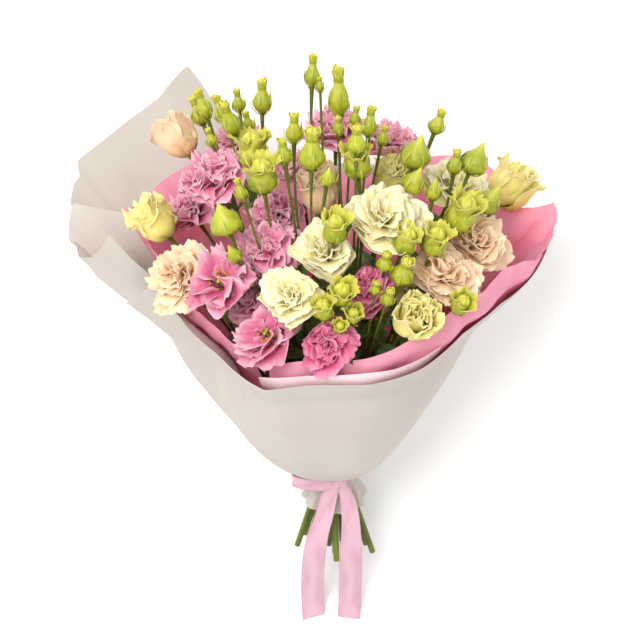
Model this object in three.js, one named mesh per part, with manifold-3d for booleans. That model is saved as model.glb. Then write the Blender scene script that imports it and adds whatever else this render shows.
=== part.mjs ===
// A tied bunch of lisianthus in paper, lying on its back on a flat surface.
// Millimetres, +Z up. Every shape is set out upright, along the bunch, and then laid down.
import * as THREE from 'three';
import Module from 'manifold-3d';

const wasm = await Module();
wasm.setup();

// Lying pose: the bunch's axis rises from the surface, and its tie is held up by the paper's bulge.
const AXIS_RISE = 30;
const TIE_HEIGHT = 88;
const TIE_X = 15;
const TIE_Y = -150;
const CENTRE_X = 17;
const CENTRE_Y = 26.2;

// Stems
const STEM_RADIUS = 3;
const STEM_PITCH = 6.05;
const STEM_END = -104;
const STEM_SPREAD = 3.3;
const FORK_SHARE = 0.52;
const BRANCH_RADIUS = 1.5;
const STALK_RADIUS = 1.1;
const STALK_GAP = 0.4;

// Blooms
const PETAL_THICKNESS = 0.62;
const BLOOM_GAP = 0.75;
const BLOOM_SOFT = 9;
const TURN_TO_FRONT = 0.45;
const FOCUS = [0, 0, 60];

// Paper, tissue and ribbon
const PAPER_THICKNESS = 0.8;
const TISSUE_THICKNESS = 0.7;
const TIE_RADIUS = 15.6;
const TIE_THICKNESS = 0.7;
const NECK_RADIUS = TIE_RADIUS + TIE_THICKNESS + 0.75;
const LAYER_PITCH = 1.15;
const OUTER_LAYER = 3;
const NECK_TOP = 8;
const NECK_INNER_TOP = 14;
const WALL_REACH = 215;
const PLEAT_LEAN = 0.4;
const BOWL_RADIUS = 95;
const BOWL_HEIGHT = 14;
const FRONT_SLIM = 14;
const FRONT_RAISE = 9;
const RIGHT_SLIM = 32;
const RIGHT_RAISE = 14;
const RIBBON_THICKNESS = 0.8;
const BAND_TOP = 7;
const BAND_BOTTOM = -7.5;
const RIBBON_WIDTH = 24;

// Ribbon: the knot and the loop set out upright, and the tails on the surface's own frame.
const KNOT = [[-5, -25.6, -1.5], [-1, -25.9, -2], [8, -25.9, -2], [12, -25.6, -2.5]];
const LOOP = [
  [1, -28.4, -2], [-14, -31.8, -1.5], [-32, -29, -1.5], [-43, -22, -2], [-41, -16.5, -2.5],
  [-28, -17, -2.5], [-14, -24, -2], [1, -25.4, -2],
];
const TAILS = [
  {
    top: 14, twist: 0.16,
    path: [
      [15, -165, 109], [9, -180, 107], [4, -200, 101], [-2, -221, 89],
      [-6, -245, 71], [-8, -275, 40], [-8, -302, 13], [-7, -322, 1],
    ],
  },
  {
    top: 12, twist: -0.12,
    path: [
      [22, -165, 109], [28, -181, 106], [31, -200, 99.5], [32, -223, 86],
      [32, -249, 67], [32, -278, 38], [32, -304, 12], [31, -323, 1],
    ],
  },
];

// Each bloom: name, form, centre (x, y, z along the bunch), diameter, colour, and how far it turns
// to the front where that isn't the usual share.
const BLOOMS = [
  ['peach_top_left', 'half', [-152, 119, 310], 46, 0xf3cfa6, 0],
  ['pink_left_high', 'double', [-116, 39, 306], 68, 0xdb8fb6],
  ['pink_left_side', 'double', [-143, 84, 250], 62, 0xd486ae],
  ['pink_back_left', 'double', [-103, 125, 302], 58, 0xd98cb3],
  ['peach_left', 'double', [-144, -46, 246], 68, 0xf6dcc4],
  ['pink_open_left', 'open', [-104, -78, 258], 70, 0xd98bb2],
  ['pink_mid_high', 'double', [-63, -44, 272], 62, 0xd384ac],
  ['pink_mid_low', 'double', [-70, -52, 226], 62, 0xcf7fa8],
  ['pink_shade', 'double', [-54, 4, 288], 62, 0xc56f9d],
  ['cream_mid', 'double', [-9, -80, 286], 66, 0xf4f0d2],
  ['cream_low', 'double', [-38, -114, 262], 62, 0xf3edcf],
  ['cream_big', 'double', [41, -61, 310], 76, 0xf5f3da],
  ['yellow_half', 'half', [52, 22, 311], 48, 0xe2dc7d, 0.3],
  ['cream_right', 'double', [114, 36, 296], 72, 0xf5ecd2],
  ['yellow_right', 'half', [170, 88, 270], 50, 0xf1dd9a, 0.2],
  ['peach_right', 'double', [126, -29, 274], 68, 0xf7dcc0],
  ['peach_low_right', 'double', [98, -72, 260], 70, 0xf7dfc6],
  ['cream_low_right', 'double', [72, -46, 234], 54, 0xf3e4cb],
  ['yellow_low', 'half', [68, -110, 238], 48, 0xf0dda0, 0.5],
  ['pink_bright', 'double', [27, -92, 259], 52, 0xd4569a],
  ['pink_single', 'open', [-61, -112, 223], 72, 0xd994bb, -0.4],
  ['pink_small', 'double', [-9, -131, 226], 50, 0xd06aa0, 0.6],
  ['pink_top', 'double', [0, 71, 341], 66, 0xd98cb4],
  ['pink_top_right', 'double', [54, 56, 332], 58, 0xd284ad],
  ['peach_middle', 'half', [-16, -6, 309], 46, 0xd9b795, 0],
  ['yellow_left', 'half', [-168, 13, 270], 46, 0xeee08c, 0],
  ['pink_behind', 'double', [-34, 29, 316], 54, 0xc9739f],
];

// Forms: rings of petals as count, height of the root on the heart, length, width at the middle and
// tip and ruffle by diameter, and opening at root and tip in degrees; and the closed heart's height.
const FORMS = {
  double: {
    heart: 0.3,
    rings: [
      { count: 5, root: 0.03, length: 0.56, width: [0.37, 0.62], open: [44, 84], ruffle: 0.045 },
      { count: 5, root: 0.11, length: 0.42, width: [0.24, 0.36], open: [16, 46], ruffle: 0.03 },
    ],
  },
  open: {
    heart: 0.15,
    rings: [{ count: 6, root: 0.03, length: 0.54, width: [0.31, 0.5], open: [56, 86], ruffle: 0.03 }],
  },
  half: {
    heart: 0.5,
    rings: [{ count: 5, root: 0.05, length: 0.84, width: [0.4, 0.52], open: [28, 38], ruffle: 0.04 }],
  },
};
const HEART_RADIUS = 3;
const ROOT_HEIGHT = 1.5;

// Buds: centre, length and width. The wide ones are opening.
const BUDS = [
  [-128, 98, 356, 30, 15], [-109, 66, 364, 28, 14], [-97, 11, 377, 36, 17], [-93, 85, 365, 22, 12],
  [-82, 38, 363, 20, 11], [-134, 112, 344, 30, 16], [-118, 51, 342, 18, 10], [-69, 60, 379, 34, 17],
  [-76, 8, 347, 36, 26], [-66, -43, 345, 34, 26], [-38, -17, 379, 28, 15], [-47, -38, 366, 26, 14],
  [-22, 71, 400, 32, 14], [-15, 52, 394, 14, 8], [2, 22, 398, 48, 19],
  [-22, -41, 369, 40, 23], [1, -20, 383, 18, 10], [17, -42, 379, 26, 17], [18, -30, 352, 32, 24],
  [-8, -58, 352, 20, 13], [17, 10, 380, 18, 10], [30, 4, 377, 28, 14], [42, -2, 366, 20, 10],
  [73, -5, 353, 36, 28], [93, 21, 370, 24, 14], [70, -37, 339, 30, 20], [86, -46, 334, 22, 13],
  [107, -15, 346, 24, 13], [127, -5, 346, 34, 26], [140, -21, 313, 32, 22], [112, -48, 310, 38, 26],
  [60, -86, 302, 26, 20], [86, -76, 297, 30, 22], [58, -102, 281, 30, 20], [42, -97, 288, 22, 14],
  [109, -103, 249, 24, 17], [33, -119, 274, 14, 9], [44, -121, 266, 18, 12], [3, -122, 270, 26, 19],
  [-12, -130, 259, 22, 17], [14, -127, 251, 18, 13], [2, -133, 243, 12, 10], [-100, -63, 314, 34, 28],
  [-92, -80, 288, 22, 13], [-85, -56, 338, 22, 10], [-2, -90, 316, 28, 20],
];

// Sprays: the slope of each main stem across and along the bunch. A head grows on the nearest one.
const SPRAYS = [
  [-0.62, -0.05], [-0.47, 0.38], [-0.35, -0.41], [-0.28, -0.21], [-0.28, 0.13],
  [-0.11, -0.07], [-0.04, -0.48], [-0.02, 0.17], [0.03, -0.3], [0.09, -0.08],
  [0.18, 0.08], [0.2, -0.38], [0.33, -0.23], [0.4, -0.02], [0.66, 0.36],
];

// Sheets: the rim as columns of turn from the front (degrees), reach from the tie and lean off the
// axis, and the lean of the wall below the rim where the rim is turned in.
const SHEETS = [
  {
    name: 'wrap_front', layer: 3, thick: PAPER_THICKNESS, colour: 0xe4dfd8, pleat: 0, skirt: true,
    rim: [
      [-98, 272, 50], [-92, 273, 45.3], [-87, 278, 41.6], [-82, 284, 38.9], [-72, 276, 37.2],
      [-62, 268, 36.7], [-52, 262, 37], [-42, 257, 38], [-32, 252, 39.6], [-23, 248, 41],
      [-10, 247, 39], [0, 246, 38.5], [10, 245, 38.5], [20, 247, 38], [30, 250, 37.5], [40, 255, 36.5],
      [50, 260, 35.5], [60, 267, 35.5], [70, 274, 36], [80, 282, 37.8], [90, 298, 40],
      [103, 322, 42.6],
    ],
  },
  {
    name: 'wrap_left', layer: 1, thick: PAPER_THICKNESS, colour: 0xece8e2, pleat: 0,
    rim: [
      [-124, 300, 44], [-119, 338, 47], [-117.5, 357, 49.3], [-116.5, 379, 51.8], [-114.5, 368, 54.2],
      [-112, 353, 56], [-108, 336, 55], [-106, 326, 51], [-104, 325, 47], [-101.5, 330, 42.5],
      [-97, 312, 40.5], [-91, 296, 38.8], [-84, 277, 37],
    ],
  },
  {
    name: 'wrap_back', layer: 2, thick: PAPER_THICKNESS, colour: 0xe9e0d8, pleat: 0, hem: 32, rests: true,
    rim: [
      [95, 296, 39.3], [100, 303, 40.6], [110, 310, 43], [120, 318, 45], [130, 325, 47],
      [140, 331, 48], [150, 336, 48.5], [160, 338, 48.5], [170, 338, 48.5], [180, 338, 48.5],
      [190, 342, 48.5], [200, 364, 48.5], [205, 420, 47.2], [208, 462, 47.5], [211, 456, 48],
      [215, 444, 48.7], [221, 436, 50], [228, 426, 51.6], [234, 420, 53], [236, 404, 53.2],
      [238, 400, 53.6], [242, 384, 54],
    ],
  },
  {
    name: 'liner_front', layer: 1, thick: TISSUE_THICKNESS, colour: 0xf8e2e6, pleat: 0, hem: 14,
    rim: [
      [-27, 246, 38.5, 39.2], [-20, 248, 37.7, 39.3], [-10, 249, 36.4, 37.9], [0, 249, 36, 37.4],
      [10, 249, 35.8, 37.4], [20, 250, 36, 36.9], [30, 252, 35.5, 36.4], [40, 256, 34.9, 35.5],
    ],
  },
  {
    name: 'tissue_left', layer: 0, thick: TISSUE_THICKNESS, colour: 0xf08fb4, pleat: 1, hem: 14,
    rim: [
      [-152, 338, 42.8], [-147, 348, 43], [-139, 348, 43.5], [-132, 344, 43.5], [-125, 338, 43],
      [-117, 334, 42.5], [-107, 338, 41.3], [-100.5, 338, 39.8], [-95, 318, 38.5], [-88, 298, 37],
      [-80, 284, 35.5, 36.6], [-70, 272, 33.8, 35.4], [-60, 262, 33, 35], [-50, 254, 33.5, 35.3],
      [-40, 250, 35, 36.3], [-31, 248, 37, 37.6],
    ],
  },
  {
    name: 'tissue_right', layer: 0, thick: TISSUE_THICKNESS, colour: 0xf2a3c2, pleat: 1, hem: 14,
    rim: [
      [-25, 248, 36, 38.2], [-16, 252, 34.5, 37.6], [-8, 252, 33.5, 36.5], [0, 252, 33.2, 36.1],
      [10, 253, 33.2, 36.1], [20, 256, 32.6, 35.6], [30, 260, 31.6, 35.1], [40, 265, 31, 34.1],
      [50, 272, 31, 33.6], [60, 280, 31.8, 33.7], [70, 288, 33, 34.4], [80, 296, 34.6, 36.2],
      [90, 304, 36, 37.8], [99, 314, 37, 38.3], [105, 328, 38.8, 39.4], [110, 346, 40.4],
      [113, 328, 38.6], [117, 320, 38], [123, 330, 38.8], [130, 344, 40], [138, 350, 41],
      [147, 346, 41], [153, 338, 40.3], [160, 326, 39.8], [168, 316, 39.8], [177, 310, 40.2],
      [188, 310, 41], [197, 316, 41.5], [204, 326, 42],
    ],
  },
];

const RAD = Math.PI / 180;
const RISE_SIN = Math.sin(AXIS_RISE * RAD);
const RISE_COS = Math.cos(AXIS_RISE * RAD);
const FRONT = new THREE.Vector3(0, -RISE_COS, RISE_SIN);

// A steady pseudo-random number from 0 to 1 for any pair of whole numbers.
function chance(seed, step) {
  const value = Math.sin(seed * 12.9898 + step * 78.233) * 43758.5453;
  return value - Math.floor(value);
}

function lerp(from, to, share) {
  return from + (to - from) * share;
}

// Height above the surface of a point set out upright.
function heightOf(point) {
  return point.z * RISE_SIN - point.y * RISE_COS + TIE_HEIGHT;
}

// Lifts a point that would be under the surface, or nearer to it than the clearance.
function liftClear(point, clearance) {
  const short = clearance - heightOf(point);
  if (short > 0) {
    point.addScaledVector(FRONT, short);
  }
  return point;
}

// Makes a solid from points and triangles, turned so that its faces point out.
function makeSolid(points, faces) {
  const box = new THREE.Box3().setFromPoints(points);
  const centre = box.getCenter(new THREE.Vector3());
  let volume = 0;
  for (const [a, b, c] of faces) {
    const one = points[a].clone().sub(centre);
    const two = points[b].clone().sub(centre);
    const three = points[c].clone().sub(centre);
    volume += one.dot(two.cross(three));
  }
  const vertProperties = new Float32Array(points.flatMap((point) => point.toArray()));
  const turned = volume < 0 ? faces.map(([a, b, c]) => [a, c, b]) : faces;
  const triVerts = new Uint32Array(turned.flat());
  return new wasm.Manifold(new wasm.Mesh({ numProp: 3, vertProperties, triVerts }));
}

// A closed sheet: the grid's rows are moved half the thickness to both sides and joined at the rim.
function makeSheet(grid, thickness, seat) {
  const rows = grid.length;
  const cols = grid[0].length;
  const points = [];
  for (const side of [1, -1]) {
    for (let i = 0; i < rows; i += 1) {
      for (let j = 0; j < cols; j += 1) {
        const along = grid[Math.min(i + 1, rows - 1)][j].clone().sub(grid[Math.max(i - 1, 0)][j]);
        const across = grid[i][Math.min(j + 1, cols - 1)].clone().sub(grid[i][Math.max(j - 1, 0)]);
        const normal = along.cross(across).normalize();
        const point = grid[i][j].clone().addScaledVector(normal, side * thickness * 0.5);
        points.push(seat ? seat(point, side) : point);
      }
    }
  }
  const half = rows * cols;
  const faces = [];
  for (let i = 0; i < rows - 1; i += 1) {
    for (let j = 0; j < cols - 1; j += 1) {
      const a = i * cols + j;
      const b = a + 1;
      const c = a + cols + 1;
      const d = a + cols;
      faces.push([a, b, c], [a, c, d]);
      faces.push([half + a, half + c, half + b], [half + a, half + d, half + c]);
    }
  }
  const border = [];
  for (let j = 0; j < cols - 1; j += 1) {
    border.push([j, j + 1]);
  }
  for (let i = 0; i < rows - 1; i += 1) {
    border.push([i * cols + cols - 1, (i + 1) * cols + cols - 1]);
  }
  for (let j = cols - 1; j > 0; j -= 1) {
    border.push([(rows - 1) * cols + j, (rows - 1) * cols + j - 1]);
  }
  for (let i = rows - 1; i > 0; i -= 1) {
    border.push([i * cols, (i - 1) * cols]);
  }
  for (const [a, b] of border) {
    faces.push([b, a, half + a], [b, half + a, half + b]);
  }
  return makeSolid(points, faces);
}

// A closed round rod along a path, with a radius for each point.
function makeRod(path, radii, sides, seat) {
  const points = [];
  const faces = [];
  let side = new THREE.Vector3(1, 0.13, 0);
  for (let i = 0; i < path.length; i += 1) {
    const after = path[Math.min(i + 1, path.length - 1)];
    const before = path[Math.max(i - 1, 0)];
    const along = after.clone().sub(before).normalize();
    side = side.clone().addScaledVector(along, -side.dot(along)).normalize();
    const other = along.clone().cross(side);
    for (let k = 0; k < sides; k += 1) {
      const turn = (k / sides) * 2 * Math.PI;
      const point = path[i].clone();
      point.addScaledVector(side, Math.cos(turn) * radii[i]);
      point.addScaledVector(other, Math.sin(turn) * radii[i]);
      points.push(seat ? seat(point) : point);
    }
  }
  for (let i = 0; i < path.length - 1; i += 1) {
    for (let k = 0; k < sides; k += 1) {
      const a = i * sides + k;
      const b = i * sides + ((k + 1) % sides);
      faces.push([a, b, b + sides], [a, b + sides, a + sides]);
    }
  }
  const last = (path.length - 1) * sides;
  for (let k = 1; k < sides - 1; k += 1) {
    faces.push([0, k + 1, k], [last, last + k, last + k + 1]);
  }
  return makeSolid(points, faces);
}

// Two directions at right angles to an axis.
function frameOf(axis, turn) {
  const start = Math.abs(axis.z) < 0.9 ? new THREE.Vector3(0, 0, 1) : new THREE.Vector3(1, 0, 0);
  const one = start.addScaledVector(axis, -start.dot(axis)).normalize();
  one.applyAxisAngle(axis, turn);
  return [one, axis.clone().cross(one)];
}

// Blooms with their axis, base and the planes that part them from their neighbours.
const blooms = BLOOMS.map(([name, form, at, size, colour, turned], index) => {
  const centre = new THREE.Vector3(...at);
  const outward = centre.clone().sub(new THREE.Vector3(...FOCUS)).normalize();
  const axis = outward.addScaledVector(FRONT, turned ?? TURN_TO_FRONT).normalize();
  const base = centre.clone().addScaledVector(axis, -size * (form === 'half' ? 0.4 : 0.24));
  return { name, form, centre, size, colour, axis, base, index, planes: [] };
});

for (const one of blooms) {
  for (const two of blooms) {
    const between = two.centre.clone().sub(one.centre);
    const distance = between.length();
    if (one !== two && distance < (one.size + two.size) * 0.62) {
      const share = one.size / (one.size + two.size);
      one.planes.push({ normal: between.normalize(), offset: distance * share });
    }
  }
}

// Eases a bloom's point back from the planes between it and its neighbours.
function easeBack(bloom, point) {
  for (let pass = 0; pass < 3; pass += 1) {
    for (const plane of bloom.planes) {
      const clear = plane.offset - point.clone().sub(bloom.centre).dot(plane.normal);
      if (clear < BLOOM_SOFT) {
        const room = BLOOM_SOFT - BLOOM_GAP;
        const eased = BLOOM_GAP + room * Math.exp((clear - BLOOM_SOFT) / room);
        point.addScaledVector(plane.normal, clear - eased);
      }
    }
  }
  return point;
}

// The rows of one petal beyond its root: points across it, each with the blade's normal.
function petalRows(bloom, ring, ringIndex, number, sides) {
  const seed = bloom.index * 31 + ringIndex * 7 + number;
  const [one, two] = sides;
  const base = ((number + ringIndex * 0.5 + 0.1 * (chance(seed, 1) - 0.5)) / ring.count) * 2 * Math.PI;
  const length = ring.length * bloom.size * (0.94 + 0.12 * chance(seed, 2));
  const tipOpen = ring.open[1] + 10 * (chance(seed, 3) - 0.5);
  let radius = HEART_RADIUS * 0.8;
  let height = ring.root * bloom.size + ROOT_HEIGHT * 0.5;
  return [1, 2].map((i) => {
    const open = lerp(ring.open[0], tipOpen, i / 2) * RAD;
    const middle = lerp(ring.open[0], tipOpen, i / 2 - 0.25) * RAD;
    radius += Math.sin(middle) * length * 0.5;
    height += Math.cos(middle) * length * 0.5;
    const width = ring.width[i - 1] * bloom.size;
    return [-1, 0, 1].map((j) => {
      const angle = base + (j * width * 0.5) / Math.max(radius, width * 0.4);
      const wave = i === 2 ? ring.ruffle * bloom.size * (chance(seed, 10 + j) * 2 - 1) : 0;
      const lift = j * (0.02 + i * 0.02) * bloom.size + wave;
      const back = Math.abs(j) * i * 0.5 * length * 0.16;
      const out = one.clone().multiplyScalar(Math.cos(angle)).addScaledVector(two, Math.sin(angle));
      const normal = bloom.axis.clone().multiplyScalar(Math.sin(open)).addScaledVector(out, -Math.cos(open));
      const point = bloom.base.clone().addScaledVector(bloom.axis, height - Math.cos(open) * back);
      point.addScaledVector(out, radius - Math.sin(open) * back);
      point.addScaledVector(normal, lift);
      return { point: easeBack(bloom, point), normal };
    });
  });
}

// A bloom in one closed skin: a heart with rings of corners, and petals drawn out of its facets.
function makeBloom(bloom) {
  const form = FORMS[bloom.form];
  const count = form.rings[0].count;
  const sides = frameOf(bloom.axis, bloom.index * 0.7);
  const points = [];
  const faces = [];
  const corner = (turn, radius, height) => {
    const angle = (turn / count) * 2 * Math.PI;
    const point = bloom.base.clone().addScaledVector(bloom.axis, height);
    point.addScaledVector(sides[0], Math.cos(angle) * radius);
    point.addScaledVector(sides[1], Math.sin(angle) * radius);
    points.push(point);
    return points.length - 1;
  };
  const loop = (shift, radius, height) => {
    return Array.from({ length: count }, (unused, k) => corner(k + shift - 0.5, radius, height));
  };
  const quad = (a, b, c, d) => faces.push([a, b, c], [a, c, d]);
  const band = (low, high, skew) => {
    for (let k = 0; k < count; k += 1) {
      const next = (k + 1) % count;
      if (skew) {
        faces.push([low[k], low[next], high[k]], [low[next], high[next], high[k]]);
      } else {
        quad(low[k], low[next], high[next], high[k]);
      }
    }
  };
  let below = loop(0, 2, 0);
  for (let k = 1; k < count - 1; k += 1) {
    faces.push([below[0], below[k + 1], below[k]]);
  }
  form.rings.forEach((ring, ringIndex) => {
    const height = ring.root * bloom.size;
    const low = loop(ringIndex * 0.5, HEART_RADIUS, height);
    const high = loop(ringIndex * 0.5, HEART_RADIUS, height + ROOT_HEIGHT);
    band(below, low, ringIndex > 0);
    for (let k = 0; k < count; k += 1) {
      const next = (k + 1) % count;
      const rows = petalRows(bloom, ring, ringIndex, k, sides).map((row) => {
        return [0.5, -0.5].map((half) => row.map(({ point, normal }) => {
          points.push(point.clone().addScaledVector(normal, half * PETAL_THICKNESS));
          return points.length - 1;
        }));
      });
      const [[upper, lower], [upperTip, lowerTip]] = rows;
      const [a, b, c, d] = [high[k], high[next], low[k], low[next]];
      faces.push([b, a, upper[1]], [a, upper[0], upper[1]], [b, upper[1], upper[2]]);
      faces.push([d, lower[1], c], [c, lower[1], lower[0]], [d, lower[2], lower[1]]);
      quad(a, c, lower[0], upper[0]);
      quad(d, b, upper[2], lower[2]);
      for (let j = 0; j < 2; j += 1) {
        quad(upper[j + 1], upper[j], upperTip[j], upperTip[j + 1]);
        quad(lower[j + 1], lowerTip[j + 1], lowerTip[j], lower[j]);
        quad(upperTip[j + 1], upperTip[j], lowerTip[j], lowerTip[j + 1]);
      }
      quad(upper[0], lower[0], lowerTip[0], upperTip[0]);
      quad(upper[2], upperTip[2], lowerTip[2], lower[2]);
    }
    below = high;
  });
  const top = loop((form.rings.length - 1) * 0.5, HEART_RADIUS * 0.7, form.heart * bloom.size);
  band(below, top, false);
  for (let k = 1; k < count - 1; k += 1) {
    faces.push([top[0], top[k], top[k + 1]]);
  }
  return makeSolid(points, faces);
}

// Stems: each spray has its place in the bundle, packed round the middle.
const places = SPRAYS.map(([across, along]) => new THREE.Vector2(across, along).multiplyScalar(34));
for (let round = 0; round < 400; round += 1) {
  for (const one of places) {
    one.multiplyScalar(0.985);
    for (const two of places) {
      const apart = one.distanceTo(two);
      if (one !== two && apart < STEM_PITCH) {
        const push = one.clone().sub(two).multiplyScalar((STEM_PITCH - apart) / apart / 2);
        one.add(push);
        two.sub(push);
      }
    }
  }
}
for (let round = 0; round < 60; round += 1) {
  for (const one of places) {
    for (const two of places) {
      const apart = one.distanceTo(two);
      if (one !== two && apart < STEM_PITCH) {
        const push = one.clone().sub(two).multiplyScalar((STEM_PITCH - apart) / apart / 2);
        one.add(push);
        two.sub(push);
      }
    }
  }
}

const sprays = SPRAYS.map((slope, index) => ({ slope, place: places[index], index, heads: [] }));

function nearestSpray(centre) {
  let best = sprays[0];
  let least = Infinity;
  for (const spray of sprays) {
    const across = centre.x / centre.z - spray.slope[0];
    const along = centre.y / centre.z - spray.slope[1];
    const apart = Math.hypot(across, along);
    if (apart < least) {
      least = apart;
      best = spray;
    }
  }
  return best;
}

for (const bloom of blooms) {
  const base = bloom.base.clone().addScaledVector(bloom.axis, -STALK_GAP);
  nearestSpray(bloom.centre).heads.push({ bloom: true, base, axis: bloom.axis, reach: base.length() });
}
BUDS.forEach(([x, y, z, length, width], index) => {
  const centre = new THREE.Vector3(x, y, z);
  const spray = nearestSpray(centre);
  const fork = new THREE.Vector3(spray.slope[0] * 150, spray.slope[1] * 150, 150);
  const axis = centre.clone().sub(fork).normalize();
  axis.add(new THREE.Vector3(chance(index, 5) - 0.5, chance(index, 6) - 0.5, 0.5).multiplyScalar(0.3));
  axis.normalize();
  const base = centre.clone().addScaledVector(axis, -length * 0.5);
  spray.heads.push({ bloom: false, base, axis, reach: base.length(), length, width });
});

// The path and radii of a branch or stalk from its start to its head, with the bud at its end.
function headRod(head, from) {
  const distance = from.distanceTo(head.base);
  const control = head.base.clone().addScaledVector(head.axis, -distance * 0.42);
  const path = new THREE.QuadraticBezierCurve3(from, control, head.base).getPoints(2);
  if (head.bloom) {
    return [path, [1.7, BRANCH_RADIUS, 1.9]];
  }
  const opening = head.width / head.length > 0.68;
  const sizes = opening ? [0.8, 1, 0.55] : [0.85, 0.95, 0.16];
  for (const share of [0.16, 0.55, 1]) {
    path.push(head.base.clone().addScaledVector(head.axis, share * head.length));
  }
  return [path, [1.4, STALK_RADIUS, STALK_RADIUS, ...sizes.map((size) => size * head.width * 0.5)]];
}

// A spray: its stem runs on into the head that reaches furthest, and the others branch off below.
// The extra thickness is for cuts.
function makeSpray(spray, extra) {
  const heads = [...spray.heads].sort((one, two) => two.reach - one.reach);
  const forkHeight = heads[heads.length - 1].reach * FORK_SHARE;
  const fork = new THREE.Vector3(spray.slope[0], spray.slope[1], 1).multiplyScalar(forkHeight);
  const { x, y } = spray.place;
  const end = new THREE.Vector3(x * STEM_SPREAD, y * STEM_SPREAD, STEM_END - y * 0.9);
  const tie = new THREE.Vector3(x, y, -4);
  const above = new THREE.Vector3(x, y, NECK_INNER_TOP);
  const low = fork.clone().lerp(above, 0.7);
  const [leadPath, leadRadii] = headRod(heads[0], fork);
  const path = [end, tie, above, low, ...leadPath];
  const radii = [STEM_RADIUS, STEM_RADIUS, STEM_RADIUS, 2.5, ...leadRadii];
  radii[4] = 2;
  const grown = (sizes) => sizes.map((size) => size + extra);
  const parts = [makeRod(path, grown(radii), 5, (point) => liftClear(point, 0))];
  heads.slice(1).forEach((head, number) => {
    const from = fork.clone().lerp(low, (0.8 * number) / heads.length);
    const [rodPath, rodRadii] = headRod(head, from);
    parts.push(makeRod(rodPath, grown(rodRadii), 5));
  });
  return wasm.Manifold.union(parts);
}

// The direction that leans off the axis by an angle in degrees.
function rayAt(lean) {
  return new THREE.Vector2(Math.sin(lean * RAD), Math.cos(lean * RAD));
}

// A sheet of the wrap, from under the ribbon out over the bowl to its rim. The bowl is slimmer in
// front and slimmest on the right.
function wrapGrid(sheet) {
  const neck = NECK_RADIUS + sheet.layer * LAYER_PITCH;
  const bowl = BOWL_RADIUS + sheet.layer * 2.5;
  const dip = BOWL_HEIGHT - sheet.layer * 3;
  const neckTop = lerp(NECK_INNER_TOP, NECK_TOP, sheet.layer / OUTER_LAYER);
  const shares = [0, 0.16, 0.38, 0.66, 1];
  const columns = sheet.rim.map(([turn, reach, lean, wallLean = lean], number) => {
    const pleat = sheet.pleat * (number % 2 === 0 ? 1 : -1);
    const rimRay = rayAt(lean + pleat * PLEAT_LEAN);
    const wallRay = rayAt(wallLean + pleat * PLEAT_LEAN);
    const start = new THREE.Vector2(neck, neckTop);
    const angle = turn * RAD;
    const front = Math.max(0, Math.cos(angle)) ** 2;
    const right = Math.max(0, Math.sin(angle)) ** 2;
    const control = new THREE.Vector2(bowl - FRONT_SLIM * front - RIGHT_SLIM * right,
      dip + FRONT_RAISE * front + RIGHT_RAISE * right);
    const profile = sheet.skirt ? [new THREE.Vector2(neck + 11, -38), new THREE.Vector2(neck + 3, -17)] : [];
    profile.push(new THREE.Vector2(neck, -8.5));
    const bend = new THREE.QuadraticBezierCurve(start, control, wallRay.clone().multiplyScalar(WALL_REACH));
    for (const share of shares) {
      profile.push(bend.getPoint(share));
    }
    if (sheet.hem) {
      profile.push(wallRay.clone().multiplyScalar(reach - sheet.hem));
    }
    profile.push(rimRay.clone().multiplyScalar(reach));
    return profile.map((point) => {
      return new THREE.Vector3(Math.sin(angle) * point.x, -Math.cos(angle) * point.x, point.y);
    });
  });
  return columns[0].map((unused, row) => columns.map((column) => column[row]));
}

function makeWrap(sheet) {
  // The outer face settles on the surface, and the inner face stays a thickness above it.
  const least = sheet.rests ? 0 : PAPER_THICKNESS + 0.4;
  return makeSheet(wrapGrid(sheet), sheet.thick, (point, side) => {
    return liftClear(point, least + (side > 0 ? sheet.thick : 0));
  });
}

// A closed band round the bunch's axis.
function makeBand(inner, outer, bottom, top, sides) {
  const points = [];
  const faces = [];
  for (let k = 0; k < sides; k += 1) {
    const turn = (k / sides) * 2 * Math.PI;
    for (const [radius, height] of [[inner, bottom], [outer, bottom], [outer, top], [inner, top]]) {
      points.push(new THREE.Vector3(Math.sin(turn) * radius, -Math.cos(turn) * radius, height));
    }
  }
  for (let k = 0; k < sides; k += 1) {
    const next = (k + 1) % sides;
    for (let c = 0; c < 4; c += 1) {
      const a = k * 4 + c;
      const b = k * 4 + ((c + 1) % 4);
      const d = next * 4 + c;
      const e = next * 4 + ((c + 1) % 4);
      faces.push([a, b, e], [a, e, d]);
    }
  }
  return makeSolid(points, faces);
}

// A strip of ribbon along a path, with the direction across it for each point.
function makeStrip(path, across, width, thickness, seat) {
  const grid = path.map((point, row) => {
    const half = across[row].clone().normalize().multiplyScalar(width[row] * 0.5);
    return [point.clone().sub(half), point.clone(), point.clone().add(half)];
  });
  return makeSheet(grid, thickness, seat);
}

// Takes a point of the surface's own frame back into the upright one.
function fromSurface([x, y, z]) {
  const ahead = y - TIE_Y;
  const above = z - TIE_HEIGHT;
  const back = ahead * RISE_SIN - above * RISE_COS;
  return new THREE.Vector3(x - TIE_X, back, ahead * RISE_COS + above * RISE_SIN);
}

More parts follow.
